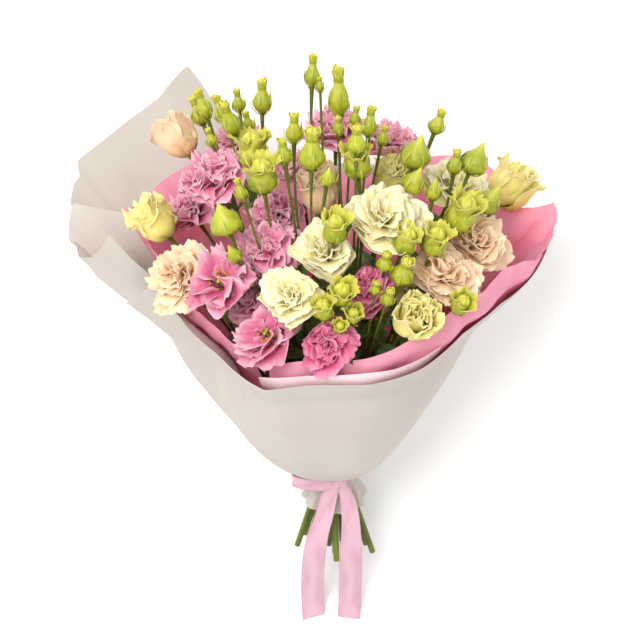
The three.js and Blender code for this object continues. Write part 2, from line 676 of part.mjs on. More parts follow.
// The ribbon: a band round the paper's neck, a knot in front, a loop to the left and two tails.
function makeRibbon() {
  const radius = (NECK_RADIUS + OUTER_LAYER * LAYER_PITCH + 0.72) * 1.009;
  const upright = new THREE.Vector3(0, 0, 1);
  const flat = new THREE.Vector3(1, 0, 0);
  const parts = [makeBand(radius, radius + 1, BAND_BOTTOM, BAND_TOP, 24)];
  const knot = KNOT.map((point) => new THREE.Vector3(...point));
  parts.push(makeRod(knot, [3, 4.6, 4.6, 3], 6));
  const loop = LOOP.map((point) => new THREE.Vector3(...point));
  const loopAcross = loop.map(() => upright);
  const loopWidth = loop.map((point, row) => (row === 0 || row === loop.length - 1 ? 8 : 13));
  parts.push(makeStrip(loop, loopAcross, loopWidth, RIBBON_THICKNESS));
  for (const tail of TAILS) {
    const path = tail.path.map((point) => fromSurface(point));
    const across = path.map((point, row) => {
      const twist = tail.twist * Math.sin((row / (path.length - 1)) * Math.PI);
      return flat.clone().addScaledVector(FRONT, twist);
    });
    const width = path.map((point, row) => lerp(tail.top, RIBBON_WIDTH, Math.min(1, row / 4)));
    parts.push(makeStrip(path, across, width, RIBBON_THICKNESS, (point) => liftClear(point, 0)));
  }
  return wasm.Manifold.union(parts);
}

const group = new THREE.Group();
const lay = new THREE.Matrix4().set(
  1, 0, 0, TIE_X + CENTRE_X,
  0, RISE_SIN, RISE_COS, TIE_Y + CENTRE_Y,
  0, -RISE_COS, RISE_SIN, TIE_HEIGHT,
  0, 0, 0, 1,
);

function addMesh(name, made, colour, roughness) {
  const solid = largest(made);
  const { numProp, vertProperties, triVerts } = solid.getMesh();
  const position = new Float32Array((vertProperties.length / numProp) * 3);
  for (let i = 0; i < position.length / 3; i += 1) {
    for (let c = 0; c < 3; c += 1) {
      position[i * 3 + c] = vertProperties[i * numProp + c];
    }
  }
  const geometry = new THREE.BufferGeometry();
  geometry.setAttribute('position', new THREE.BufferAttribute(position, 3));
  geometry.setIndex(new THREE.BufferAttribute(new Uint32Array(triVerts), 1));
  geometry.applyMatrix4(lay);
  const material = new THREE.MeshStandardMaterial({ color: colour, roughness, metalness: 0 });
  const mesh = new THREE.Mesh(geometry, material);
  mesh.name = name;
  group.add(mesh);
}

// The largest piece of a solid, where a cut has left crumbs.
function largest(solid) {
  const pieces = solid.decompose();
  return pieces.reduce((best, piece) => (piece.volume() > best.volume() ? piece : best));
}

sprays.forEach((spray) => {
  addMesh(`spray_${spray.index + 1}`, makeSpray(spray, 0), 0x8fa63a, 0.55);
});
const cutters = sprays.map((spray) => makeSpray(spray, 0.35));
for (const bloom of blooms) {
  let solid = makeBloom(bloom);
  for (const cutter of cutters) {
    if (solid.intersect(cutter).volume() > 0.001) {
      solid = solid.subtract(cutter);
    }
  }
  addMesh(`bloom_${bloom.name}`, solid, bloom.colour, 0.6);
}
for (const sheet of SHEETS) {
  addMesh(sheet.name, makeWrap(sheet), sheet.colour, 0.75);
}

addMesh('ribbon', makeRibbon(), 0xecbccf, 0.35);
addMesh('stem_tie', makeBand(TIE_RADIUS, TIE_RADIUS + TIE_THICKNESS, -3.5, 6, 16), 0xcfd2c4, 0.5);

export default group;
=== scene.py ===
import math

import bpy
import numpy as np
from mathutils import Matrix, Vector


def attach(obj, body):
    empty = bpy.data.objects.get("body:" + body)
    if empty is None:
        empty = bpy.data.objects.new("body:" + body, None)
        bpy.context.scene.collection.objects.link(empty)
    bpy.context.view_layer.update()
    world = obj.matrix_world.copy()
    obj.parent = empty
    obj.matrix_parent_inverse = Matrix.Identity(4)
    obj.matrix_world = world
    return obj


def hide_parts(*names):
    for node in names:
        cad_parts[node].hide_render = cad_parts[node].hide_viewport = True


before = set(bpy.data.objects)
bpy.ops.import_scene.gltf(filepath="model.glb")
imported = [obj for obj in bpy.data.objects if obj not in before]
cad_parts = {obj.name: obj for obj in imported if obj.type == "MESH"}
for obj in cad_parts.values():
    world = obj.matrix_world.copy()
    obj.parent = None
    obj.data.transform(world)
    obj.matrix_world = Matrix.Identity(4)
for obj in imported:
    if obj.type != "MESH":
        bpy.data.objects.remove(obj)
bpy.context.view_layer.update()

MM = 0.001
# A whole turn, and a near one that random waves start within.
TURN = 2 * math.pi
ABOUT_TURN = 6.28

# Lying pose: the bunch's axis rises from the surface, as in the part's source.
AXIS_RISE = math.radians(30)
TIE_HEIGHT = 88.0
TIE_AT = (32.0, -123.8)
RISE_SIN = math.sin(AXIS_RISE)
RISE_COS = math.cos(AXIS_RISE)
FRONT = np.array([0.0, -RISE_COS, RISE_SIN])

# Camera: it looks straight down from this height over this point.
CAMERA_AT = (17.0, 26.2, 1600.0)
CAMERA_SPAN = 608.0
CAMERA_SPAN_DISTANCE = 1400.0

# Lamps: name, place, aim, size, power and tint.
LAMPS = [
    ("window", (-0.7, 0.5, 2.1), (0, 0.05, 0.15), 1.1, 34, (1, 0.985, 0.96)),
    ("front", (0.3, -1.5, 1.5), (0, 0, 0.12), 1.4, 6, (1, 0.97, 0.93)),
]

# Blooms: name, form, centre (x, y, z along the bunch), diameter, colour, and how far it turns to the front
# where that isn't as usual.
USUAL_TURN = 0.45
BLOOMS = [
    ("peach_top_left", "half", (-152, 119, 310), 46, "peach", 0),
    ("pink_left_high", "double", (-116, 39, 306), 68, "pink"),
    ("pink_left_side", "double", (-143, 84, 250), 62, "pink"),
    ("pink_back_left", "double", (-103, 125, 302), 58, "pink"),
    ("peach_left", "double", (-144, -46, 246), 68, "peach"),
    ("pink_open_left", "open", (-104, -78, 258), 70, "pink"),
    ("pink_mid_high", "double", (-63, -44, 272), 62, "pink"),
    ("pink_mid_low", "double", (-70, -52, 226), 62, "pink"),
    ("pink_shade", "double", (-54, 4, 288), 62, "pink"),
    ("cream_mid", "double", (-9, -80, 286), 66, "cream"),
    ("cream_low", "double", (-38, -114, 262), 62, "cream"),
    ("cream_big", "double", (41, -61, 310), 76, "cream"),
    ("yellow_half", "half", (52, 22, 311), 48, "yellow", 0.3),
    ("cream_right", "double", (114, 36, 296), 72, "cream"),
    ("yellow_right", "half", (170, 88, 270), 50, "yellow", 0.2),
    ("peach_right", "double", (126, -29, 274), 68, "peach"),
    ("peach_low_right", "double", (98, -72, 260), 70, "peach"),
    ("cream_low_right", "double", (72, -46, 234), 54, "cream"),
    ("yellow_low", "half", (68, -110, 238), 48, "yellow", 0.5),
    ("pink_bright", "double", (27, -92, 259), 52, "magenta"),
    ("pink_single", "open", (-61, -112, 223), 72, "pink", -0.4),
    ("pink_small", "double", (-9, -131, 226), 50, "magenta", 0.6),
    ("pink_top", "double", (0, 71, 341), 66, "pink"),
    ("pink_top_right", "double", (54, 56, 332), 58, "pink"),
    ("peach_middle", "half", (-16, -6, 309), 46, "peach", 0),
    ("yellow_left", "half", (-168, 13, 270), 46, "yellow", 0),
    ("pink_behind", "double", (-34, 29, 316), 54, "pink"),
]

# Rings of petals: count, root height, length and width as shares of the bloom's diameter, and how far
# the petals lean out from root to tip, in degrees.
PETAL_RINGS = {
    "double": [
        (5, 0.03, 0.58, 0.76, (46, 74, 98)),
        (6, 0.05, 0.55, 0.64, (34, 58, 86)),
        (6, 0.07, 0.50, 0.54, (22, 42, 70)),
        (5, 0.09, 0.45, 0.48, (12, 26, 52)),
        (4, 0.11, 0.39, 0.42, (2, 12, 34)),
    ],
    "open": [
        (6, 0.03, 0.56, 0.66, (40, 66, 96)),
        (6, 0.06, 0.49, 0.56, (28, 48, 88)),
    ],
    "half": [
        (5, 0.03, 1.04, 0.80, (84, 46, 4, -8, 70)),
        (5, 0.05, 1.02, 0.74, (76, 40, 0, -12, 54)),
        (4, 0.07, 0.98, 0.66, (66, 30, -2, -10, 38)),
        (5, 0.20, 0.84, 0.50, (36, 8, -6, 4, 36)),
        (3, 0.34, 0.62, 0.40, (20, 2, -4, 10, 40)),
    ],
}
BLADE_ACROSS = 20
BLADE_ALONG = 10
PETAL_THICKNESS = 0.5
BLOOM_SOFT = 9.0
BLOOM_GAP = 0.4
EASE_ROUNDS = 3
NEIGHBOUR_SHARE = 0.62
HEART_RADIUS = 2.2
BUNCH_HEART = np.array([0, 0, 60.0])
BASE_SHARES = {"double": 0.24, "open": 0.24, "half": 0.4}
RUFFLES = {"pink": 0.072, "magenta": 0.08, "cream": 0.034, "peach": 0.046, "yellow": 0.05}

# Buds: centre, length and width. One wider than a share of its length is opening.
BUDS = [
    (-128, 98, 356, 30, 15), (-109, 66, 364, 28, 14), (-97, 11, 377, 36, 17), (-93, 85, 365, 22, 12),
    (-82, 38, 363, 20, 11), (-134, 112, 344, 30, 16), (-118, 51, 342, 18, 10), (-69, 60, 379, 34, 17),
    (-76, 8, 347, 36, 26), (-66, -43, 345, 34, 26), (-38, -17, 379, 28, 15), (-47, -38, 366, 26, 14),
    (-22, 71, 400, 32, 14), (-15, 52, 394, 14, 8), (2, 22, 398, 48, 19),
    (-22, -41, 369, 40, 23), (1, -20, 383, 18, 10), (17, -42, 379, 26, 17), (18, -30, 352, 32, 24),
    (-8, -58, 352, 20, 13), (17, 10, 380, 18, 10), (30, 4, 377, 28, 14), (42, -2, 366, 20, 10),
    (73, -5, 353, 36, 28), (93, 21, 370, 24, 14), (70, -37, 339, 30, 20), (86, -46, 334, 22, 13),
    (107, -15, 346, 24, 13), (127, -5, 346, 34, 26), (140, -21, 313, 32, 22), (112, -48, 310, 38, 26),
    (60, -86, 302, 26, 20), (86, -76, 297, 30, 22), (58, -102, 281, 30, 20), (42, -97, 288, 22, 14),
    (109, -103, 249, 24, 17), (33, -119, 274, 14, 9), (44, -121, 266, 18, 12), (3, -122, 270, 26, 19),
    (-12, -130, 259, 22, 17), (14, -127, 251, 18, 13), (2, -133, 243, 12, 10), (-100, -63, 314, 34, 28),
    (-92, -80, 288, 22, 13), (-85, -56, 338, 22, 10), (-2, -90, 316, 28, 20),
]
OPENING = 0.68
POINTED_BUDS = {19, 23, 25, 26, 28, 29, 42, 43}
BUD_FORK = 150
BUD_FORMS = {
    "urn": [0.3, 0.62, 0.9, 1, 0.97, 0.8, 0.58, 0.46, 0.44, 0.52, 0.42],
    "pointed": [0.3, 0.7, 0.96, 1, 0.94, 0.8, 0.6, 0.4, 0.24, 0.12, 0.03],
    "opening": [0.3, 0.64, 0.88, 0.98, 1, 0.98, 0.9, 0.8, 0.7, 0.6, 0.3],
}

# Sprays: the slope of each main stem across and along the bunch. A head grows on the nearest one.
SPRAYS = [
    (-0.62, -0.05), (-0.47, 0.38), (-0.35, -0.41), (-0.28, -0.21), (-0.28, 0.13),
    (-0.11, -0.07), (-0.04, -0.48), (-0.02, 0.17), (0.03, -0.3), (0.09, -0.08),
    (0.18, 0.08), (0.2, -0.38), (0.33, -0.23), (0.4, -0.02), (0.66, 0.36),
]
STEM_RADIUS = 3.0
FORK_RADIUS = 2.1
STEM_PITCH = 6.05
STEM_END = -104.0
STEM_SPREAD = 3.3
STEM_FAN = 0.9
STEM_FAN_LOWEST = -4.5
STEM_STAGGER = 0.9
RIGHT_STEM_FROM = 8
RIGHT_STEM_ASIDE = 5
FORK_SHARE = 0.52
NECK_INNER_TOP = 14.0
NECK_TOP = 8.0

# Packing of the stems in the tie: how far out they start, rounds of drawing in and of pushing apart.
PACK_START = 34
PACK_PULL = 0.985
PACK_PULLS = 400
PACK_ROUNDS = 460

# Leaves: how long they are about, and how far off the axis a leaf's tip may lie before it turns inward.
LEAF_LENGTH = 52
LEAF_WIDTH = 17
LEAF_CURL = 0.5
LEAF_RISE = 0.9
LEAF_ROOM = 0.72
LEAF_THICKNESS = 0.5

# Sheets: layer, and rim as turn from the front, reach from the tie and lean off the axis, and the lean
# of the wall below the rim where the rim is turned in.
NECK_RADIUS = 17.05
LAYER_PITCH = 1.15
WALL_REACH = 215.0
HEM = 16.0
TISSUE_HEM = 26.0
SHEETS = {
    "wrap_front": dict(layer=3, rim=[
        (-98, 272, 50), (-92, 273, 45.3), (-87, 278, 41.6), (-82, 284, 38.9), (-72, 276, 37.2),
        (-62, 268, 36.7), (-52, 262, 37), (-42, 257, 38), (-32, 252, 39.6), (-23, 248, 41),
        (-10, 247, 39), (0, 246, 38.5), (10, 245, 38.5), (20, 247, 38), (30, 250, 37.5),
        (40, 255, 36.5), (50, 260, 35.5), (60, 267, 35.5), (70, 274, 36), (80, 282, 37.8),
        (90, 298, 40), (103, 322, 42.6),
    ]),
    "wrap_left": dict(layer=1, rim=[
        (-124, 300, 44), (-119, 338, 47), (-117.5, 357, 49.3), (-116.5, 379, 51.8),
        (-114.5, 368, 54.2), (-112, 353, 56), (-108, 336, 55), (-106, 326, 51), (-104, 325, 47),
        (-101.5, 330, 42.5), (-97, 312, 40.5), (-91, 296, 38.8), (-84, 277, 37),
    ]),
    "wrap_back": dict(layer=2, rim=[
        (95, 296, 40.6), (100, 303, 41.7), (110, 310, 43.4), (120, 318, 45), (130, 325, 47),
        (140, 331, 48), (150, 336, 48.5), (160, 338, 48.5), (170, 338, 48.5), (180, 338, 48.5),
        (190, 342, 48.5), (200, 364, 48.5), (205, 420, 47.2), (208, 462, 47.5), (211, 456, 48),
        (215, 444, 48.7), (221, 436, 50), (228, 426, 51.6), (234, 420, 53), (236, 404, 53.2),
        (238, 400, 53.6), (242, 384, 54),
    ]),
    "liner_front": dict(layer=1, rim=[
        (-27, 246, 38.5, 39.2), (-20, 248, 37.7, 39.3), (-10, 249, 36.4, 37.9), (0, 249, 36, 37.4),
        (10, 249, 35.8, 37.4), (20, 250, 36, 36.9), (30, 252, 35.5, 36.4), (40, 256, 34.9, 35.5),
    ]),
    "tissue_left": dict(layer=0, rim=[
        (-152, 338, 42.8), (-147, 348, 43), (-139, 348, 43.5), (-132, 344, 43.5), (-125, 338, 43),
        (-117, 334, 42.5), (-107, 338, 41.3), (-100.5, 338, 39.8), (-95, 318, 38.5), (-88, 298, 37),
        (-80, 284, 35.5, 36.6), (-70, 272, 33.8, 35.4), (-60, 262, 33, 35), (-50, 254, 33.5, 35.3),
        (-40, 250, 35, 36.3), (-31, 248, 37, 37.6),
    ]),
    "tissue_right": dict(layer=0, rim=[
        (-25, 248, 36, 38.2), (-16, 252, 34.5, 37.6), (-8, 252, 33.5, 36.5), (0, 252, 33.2, 36.1),
        (10, 253, 33.2, 36.1), (20, 256, 32.6, 35.6), (30, 263, 31.7, 35.6), (40, 274, 31.2, 35.5),
        (50, 284, 31.2, 35.2), (60, 295, 31.8, 35.2), (70, 305, 32.9, 35.7), (80, 310, 35.6, 37.5),
        (90, 312, 39.3, 39.5), (99, 324, 41.2, 41.3), (105, 336, 42.2, 42.4), (110, 348, 41.7, 42),
        (113, 330, 41), (117, 318, 40.7), (123, 324, 41), (130, 340, 41), (138, 350, 41),
        (147, 346, 41), (153, 338, 40.3), (160, 326, 39.8), (168, 316, 39.8), (177, 310, 40.2),
        (188, 310, 41), (197, 316, 41.5), (204, 326, 42),
    ]),
}

# Folds: the line's two ends as turn, reach and lean, and how far the paper past it bends.
FOLDS = {
    "wrap_back": [((205, 425, 47.2), (213, 436, 48.4), 0.5)],
    "wrap_front": [((-93, 235, 44), (-70, 150, 42), 0.12), ((-24, 236, 40), (45, 232, 37), 0.08)],
    "wrap_left": [((-117, 368, 50.6), (-116, 318, 51.5), 0.3)],
    "tissue_right": [((108, 340, 39.6), (88, 250, 37.5), 0.3)],
    "tissue_left": [((-120, 342, 40.5), (-95, 250, 36), 0.3)],
}

# Ribbon: the knot and loop are upright. The tails are in the surface's own frame, with the tie over
# this point of it. A tail has its width at the knot, its twist, the slant of its cut and its path.
TAILS_TIE_AT = (15, -150)
RIBBON_WIDTH = 24.0
KNOT = [(-5, -25.6, -1.5), (-1, -25.9, -2), (8, -25.9, -2), (12, -25.6, -2.5)]
LOOP = [
    (1, -28.4, -2), (-14, -31.8, -1.5), (-32, -29, -1.5), (-43, -22, -2), (-41, -16.5, -2.5),
    (-28, -17, -2.5), (-14, -24, -2), (1, -25.4, -2),
]
TAILS = {
    "left": (14, 0.16, -4.5, [
        (15, -165, 109), (9, -180, 107), (4, -200, 101), (-2, -221, 89),
        (-6, -245, 71), (-8, -275, 40), (-8, -302, 13), (-7, -322, 1),
    ]),
    "right": (12, -0.12, 1.8, [
        (22, -165, 109), (28, -181, 106), (31, -200, 99.5), (32, -223, 86),
        (32, -249, 67), (32, -278, 38), (32, -304, 12), (31, -323, 1),
    ]),
}

# Bowl of the wrap, out and up from the tie: where its wall's curve is drawn to, how much that changes
# with each layer, and how much slimmer it is at the front and at the right.
BOWL = np.array([95.0, 14.0])
BOWL_PER_LAYER = np.array([2.5, -3.0])
BOWL_AT_FRONT = np.array([-14.0, 9.0])
BOWL_AT_RIGHT = np.array([-32.0, 14.0])
HEM_BEND = 0.45
NECK_LOW = -8.5
SKIRT = [(11, -38), (3, -17)]
WALL_ROWS = 26
RIM_ROWS = 12
HEM_ROWS = 7
SHEET_COLUMNS = 7
WAVES = 5
CREASES = 7
FOLD_SOFT = 2.0
PAPER_WALL = 0.35
TISSUE_WALL = 0.25

# Band of the ribbon: play round the paper, and its lower and upper edge.
BAND_RADIUS = (NECK_RADIUS + 3 * LAYER_PITCH + 0.72) * 1.009 + 0.4
BAND_EDGES = (-7.3, 6.8)
BAND_SIDES = 73
STRIP_COLUMNS = 9
KNOT_SIDES = 29

# Where each kind of piece starts its steady random numbers.
BUD_SEED = 200
SEPAL_SEED = 700
CUP_SEED = 900
FRILL_SEED = 1200
CALYX_SEED = 1500
LEAF_SEED = 2000
STAMEN_SEED = 3000


# Small tools
def chance(seed, step):
    """A steady number from 0 to 1 for any pair of whole numbers."""
    value = math.sin(seed * 12.9898 + step * 78.233) * 43758.5453
    return value - math.floor(value)


def steps(count):
    return np.linspace(0, 1, count)


def lerp(low, high, share):
    return low + (high - low) * share


def smooth(share):
    share = np.clip(share, 0, 1)
    return share * share * (3 - 2 * share)


def unit(vector):
    return vector / np.linalg.norm(vector)


def out_at(angles, one, two):
    """The directions at these angles, between two directions that are square to each other."""
    return np.cos(angles)[:, None] * one + np.sin(angles)[:, None] * two


def around(count, first_seed):
    """The turn and the seed of each piece in a ring."""
    return [(k / count * TURN, first_seed + k) for k in range(count)]


def bow(start, control, end, shares):
    """Points on a curve from start to end that is drawn toward a control point."""
    shares = shares[:, None]
    return (1 - shares) ** 2 * start + 2 * shares * (1 - shares) * control + shares ** 2 * end


def round_tie(turn, out, up):
    """Upright points at a turn from the front, this far out from the bunch's axis and this far up."""
    return np.stack(np.broadcast_arrays(np.sin(turn) * out, -np.cos(turn) * out, up), axis=-1)


def laid(points):
    """Upright millimetres to metres in the laid pose."""
    x, y, z = np.moveaxis(np.asarray(points, float), -1, 0)
    along = y * RISE_SIN + z * RISE_COS + TIE_AT[1]
    up = -y * RISE_COS + z * RISE_SIN + TIE_HEIGHT
    return np.stack([x + TIE_AT[0], along, up], axis=-1) * MM


def lift_clear(points, clearance):
    """Moves what would be under the surface up to it."""
    height = points[..., 2] * RISE_SIN - points[..., 1] * RISE_COS + TIE_HEIGHT
    return points + np.maximum(clearance - height, 0)[..., None] * FRONT


def frame_of(axis, turn):
    """Two directions square to an axis and to each other, turned round it."""
    start = np.array([0.0, 0.0, 1.0]) if abs(axis[2]) < 0.9 else np.array([1.0, 0.0, 0.0])
    one = unit(start - axis * start.dot(axis))
    two = np.cross(axis, one)
    return one * math.cos(turn) + two * math.sin(turn), two * math.cos(turn) - one * math.sin(turn)


def random_aim(seed, k):
    return unit(np.array([chance(seed, 3 * k + c) - 0.5 for c in range(3)]))


def ripple(points, seed, size):
    """Soft random waves over points, from -1 to 1, with crests about a size apart."""
    total = np.zeros(points.shape[:-1])
    for k in range(WAVES):
        pace = TURN / (size * (0.7 + 0.8 * chance(seed, 40 + k)))
        total += np.sin(points @ random_aim(seed, k) * pace + ABOUT_TURN * chance(seed, 60 + k))
    return total / WAVES ** 0.5 / 1.4


def crumple(points, seed, size):
    """Flat facets with sharp folds between them, from -1 to 1."""
    total = np.zeros(points.shape[:-1])
    for k in range(CREASES):
        place = points @ random_aim(seed, k) / (size * (0.6 + chance(seed, 40 + k))) + chance(seed, 60 + k)
        total += 4 * np.abs(place - np.floor(place) - 0.5) - 1
    return total / CREASES ** 0.5


def curve_through(points, between, ease=1.0):
    """A smooth line through points, with steps between neighbours; less ease, firmer corners."""
    points = np.asarray(points, float)
    before = np.vstack([2 * points[0] - points[1], points[:-1]])
    after = np.vstack([points[1:], 2 * points[-1] - points[-2]])
    slopes = (after - before) / 2 * ease
    made = []
    for k in range(len(points) - 1):
        for t in np.arange(between) / between:
            h1, h2 = 2 * t ** 3 - 3 * t ** 2 + 1, t ** 3 - 2 * t ** 2 + t
            h3, h4 = -2 * t ** 3 + 3 * t ** 2, t ** 3 - t ** 2
            made.append(h1 * points[k] + h2 * slopes[k] + h3 * points[k + 1] + h4 * slopes[k + 1])
    return np.array(made + [points[-1]])


# Tools for objects
def choose(*pieces):
    """Selects only these pieces, with the first one active."""
    bpy.ops.object.select_all(action="DESELECT")
    for piece in pieces:
        piece.select_set(True)
    if pieces:
        bpy.context.view_layer.objects.active = pieces[0]


def points_of(piece):
    flat = np.zeros(len(piece.data.vertices) * 3)
    piece.data.vertices.foreach_get("co", flat)
    return flat.reshape(-1, 3)


def put_points(piece, points):
    """Sets a piece on upright points."""
    piece.data.vertices.foreach_set("co", laid(points).ravel())
    piece.data.update()


def start_blank(name):
    """Names the new primitive and gives it a tone for its colour."""
    blank = bpy.context.object
    blank.name = name
    blank.data.attributes.new("tone", "FLOAT", "POINT")
    return blank


def make_blade(name, across, along):
    """A flat blade from -1 to 1 across and 0 to 1 along."""
    choose()
    bpy.ops.mesh.primitive_grid_add(x_subdivisions=across, y_subdivisions=along, size=2)
    blade = start_blank(name)
    bpy.ops.object.mode_set(mode="EDIT")
    bpy.ops.mesh.select_all(action="SELECT")
    bpy.ops.transform.translate(value=(0, 1, 0))
    bpy.ops.transform.resize(value=(1, 0.5, 1), center_override=(0, 0, 0))
    bpy.ops.object.mode_set(mode="OBJECT")
    return blade


def make_ball(name, segments, rings):
    choose()
    bpy.ops.mesh.primitive_uv_sphere_add(segments=segments, ring_count=rings, radius=1)
    return start_blank(name)


def copy_of(blank, points, material, tone):
    """A copy of a blank with its own mesh, set on these upright points."""
    piece = blank.copy()
    piece.data = blank.data.copy()
    bpy.context.collection.objects.link(piece)
    put_points(piece, points)
    piece.data.attributes["tone"].data.foreach_set("value", np.full(len(points), tone))
    piece.data.materials.append(material)
    return piece


def join(name, pieces):
    choose(*pieces)
    if len(pieces) > 1:
        bpy.ops.object.join()
    joined = bpy.context.object
    joined.name = joined.data.name = name
    return joined


def thicken(piece, thickness):
    """Gives a piece of thin blades a wall and closes their edges."""
    choose(piece)
    wall = piece.modifiers.new("wall", "SOLIDIFY")
    wall.thickness = thickness * MM
    wall.offset = 0
    bpy.ops.object.modifier_apply(modifier=wall.name)


def finish_piece(piece, slot, *nodes):
    choose(piece)
    bpy.ops.object.shade_smooth_by_angle(angle=math.radians(50))
    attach(piece, "root")
    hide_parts(*nodes)


def make_rods(name, rods, sides, material):
    """Round rods along paths, each with its radii, as one mesh."""
    line = bpy.data.curves.new(name, "CURVE")
    line.dimensions = "3D"
    line.bevel_depth = MM
    line.bevel_resolution = sides
    line.use_fill_caps = True
    for path, radii in rods:
        spline = line.splines.new("POLY")
        spline.points.add(len(path) - 1)
        for point, place, radius in zip(spline.points, laid(path), radii):
            point.co = (*place, 1)
            point.radius = radius
    rod = bpy.data.objects.new(name, line)
    bpy.context.collection.objects.link(rod)
    choose(rod)
    bpy.ops.object.convert(target="MESH")
    rod = bpy.context.object
    rod.data.attributes.new("tone", "FLOAT", "POINT")
    rod.data.materials.append(material)
    return rod


# Materials: each helper adds a node to the tree of the sockets that it is given.
NUMBERS = {"Veins", "Size", "Cloud", "Lip Highlight Share", "Height", "Roughness"}


def shade(red, green, blue):
    """A colour as the eye sees it, 0 to 255, in the shader's own scale."""
    parts = [part / 255 for part in (red, green, blue)]
    return (*(part / 12.92 if part <= 0.04045 else ((part + 0.055) / 1.055) ** 2.4 for part in parts), 1.0)


def feed(socket, value):
    """Links a socket to another node's socket, or sets its value."""
    if isinstance(value, bpy.types.NodeSocket):
        value.id_data.links.new(value, socket)
    else:
        socket.default_value = value


def put(tree, kind, settings=None, **sockets):
    """A new node, with its settings, and its sockets set or linked."""
    made = tree.nodes.new(kind)
    for key, value in (settings or {}).items():
        setattr(made, key, value)
    for key, value in sockets.items():
        feed(made.inputs[key.replace("_", " ")], value)
    return made


def worked(how, one, two=0.0, clamp=False):
    made = put(one.id_data, "ShaderNodeMath", {"operation": how, "use_clamp": clamp})
    feed(made.inputs[0], one)
    feed(made.inputs[1], two)
    return made.outputs[0]


def times(one, two):
    return worked("MULTIPLY", one, two)


def plus(one, two, clamp=False):
    return worked("ADD", one, two, clamp)


def off_middle(value):
    return worked("SUBTRACT", value, 0.5)


def mixed(share, one, two):
    made = put(share.id_data, "ShaderNodeMix", {"data_type": "RGBA"})
    for index, value in ((0, share), (6, one), (7, two)):
        feed(made.inputs[index], value)
    return made.outputs[2]


def ranged(value, low, high, to_low=0.0, to_high=1.0):
    """Goes softly from to_low to to_high while the value goes from low to high."""
    return put(value.id_data, "ShaderNodeMapRange", {"interpolation_type": "SMOOTHSTEP"}, Value=value,
               From_Min=low, From_Max=high, To_Min=to_low, To_Max=to_high).outputs[0]


def noise(place, scale, detail=3.0, **more):
    return put(place.id_data, "ShaderNodeTexNoise", Vector=place, Scale=scale, Detail=detail,
               **more).outputs[0]


def object_place(tree):
    return put(tree, "ShaderNodeTexCoord").outputs["Object"]


def blade_place(tree):
    """How far across and how far along its own blade or sheet a point lies."""
    blade = put(tree, "ShaderNodeUVMap", {"uv_map": "UVMap"})
    return put(tree, "ShaderNodeSeparateXYZ", Vector=blade.outputs[0]).outputs[:2]


def drawn_out(across, wide, along, tall):
    """Where to read a pattern that is drawn out along its blade."""
    return put(across.id_data, "ShaderNodeCombineXYZ", X=times(across, wide),
               Y=times(along, tall)).outputs[0]


def tone_of(tree):
    return put(tree, "ShaderNodeAttribute", {"attribute_name": "tone"}).outputs["Fac"]


def new_group(name, given, made):
    """An empty effect group, with the values that it is given and those that it makes."""
    tree = bpy.data.node_groups.new(name, "ShaderNodeTree")
    for side, labels in (("INPUT", given), ("OUTPUT", made)):
        for label in labels:
            kind = "NodeSocketFloat" if label in NUMBERS else "NodeSocketColor"
            tree.interface.new_socket(label, in_out=side, socket_type=kind)
    return tree, tree.nodes.new("NodeGroupInput").outputs, tree.nodes.new("NodeGroupOutput").inputs


def make_blade_colour():
    """Root, middle and edge colours along a petal, with veins, mottling and a tone for each petal."""
    tree, given, made = new_group(
        "petal_colour", ("Root", "Middle", "Edge", "Deep", "Veins"), ("Colour", "Height"))
    across, along = blade_place(tree)
    mottle = noise(object_place(tree), 130.0)
    veins = noise(drawn_out(across, 26.0, along, 2.2), 1.0, 2.0, Roughness=0.6)
    moved = plus(along, times(off_middle(mottle), 0.35))
    low = mixed(ranged(moved, 0.05, 0.5), given["Root"], given["Middle"])
    side = worked("ABSOLUTE", off_middle(across))
    margin = times(ranged(side, 0.34, 0.5), ranged(along, 0.3, 0.7))
    body = mixed(worked("MAXIMUM", margin, ranged(moved, 0.62, 1.0)), low, given["Edge"])
    veined = mixed(times(ranged(veins, 0.42, 0.7), given["Veins"]), body, given["Deep"])
    feed(made["Colour"], mixed(times(tone_of(tree), 0.45), veined, given["Deep"]))
    feed(made["Height"], plus(times(veins, 0.7), times(mottle, 0.5)))
    return tree


def make_skin_colour():
    """Green skin: pale and dark patches, fine grain, a paler tip and a tone for each piece."""
    tree, given, made = new_group("green_skin", ("Light", "Dark", "Tip", "Size"), ("Colour", "Height"))
    place = object_place(tree)
    patches = noise(place, given["Size"])
    grain = noise(place, 1400.0, 2.0)
    share = plus(ranged(patches, 0.35, 0.68, 0, 0.5), times(off_middle(grain), 0.5))
    share = plus(share, times(tone_of(tree), 0.5), clamp=True)
    toward_tip = ranged(plus(blade_place(tree)[1], times(off_middle(patches), 0.4)), 0.45, 1.0, 0, 0.75)
    feed(made["Colour"], mixed(toward_tip, mixed(share, given["Light"], given["Dark"]), given["Tip"]))
    feed(made["Height"], plus(times(grain, 0.4), patches))
    return tree


def make_fibre():
    """Paper pulp: faint clouds, short fibres and a soft crinkle, with a painted highlight that turns the
    colour paler toward the sheet's rim.
    """
    tree, given, made = new_group(
        "paper_fibre", ("Light", "Dark", "Cloud", "Lip Highlight", "Lip Highlight Share"), ("Colour", "Height", "Roughness"))
    place = object_place(tree)
    clouds = noise(place, given["Cloud"], 4.0, Distortion=0.6)
    fibres = noise(place, 900.0, Roughness=0.65)
    share = plus(ranged(clouds, 0.3, 0.75, 0, 0.8), times(off_middle(fibres), 0.5), clamp=True)
    # Painted highlight: near the rim the colour goes over to a paler one, standing in for light shining
    # through the paper at its lip.
    rim = times(ranged(blade_place(tree)[1], 0.74, 0.93), given["Lip Highlight Share"])
    feed(made["Colour"], mixed(rim, mixed(share, given["Light"], given["Dark"]), given["Lip Highlight"]))
    feed(made["Height"], plus(times(fibres, 0.25), clouds))
    feed(made["Roughness"], ranged(fibres, 0.3, 0.7, 0.42, 0.62))
    return tree


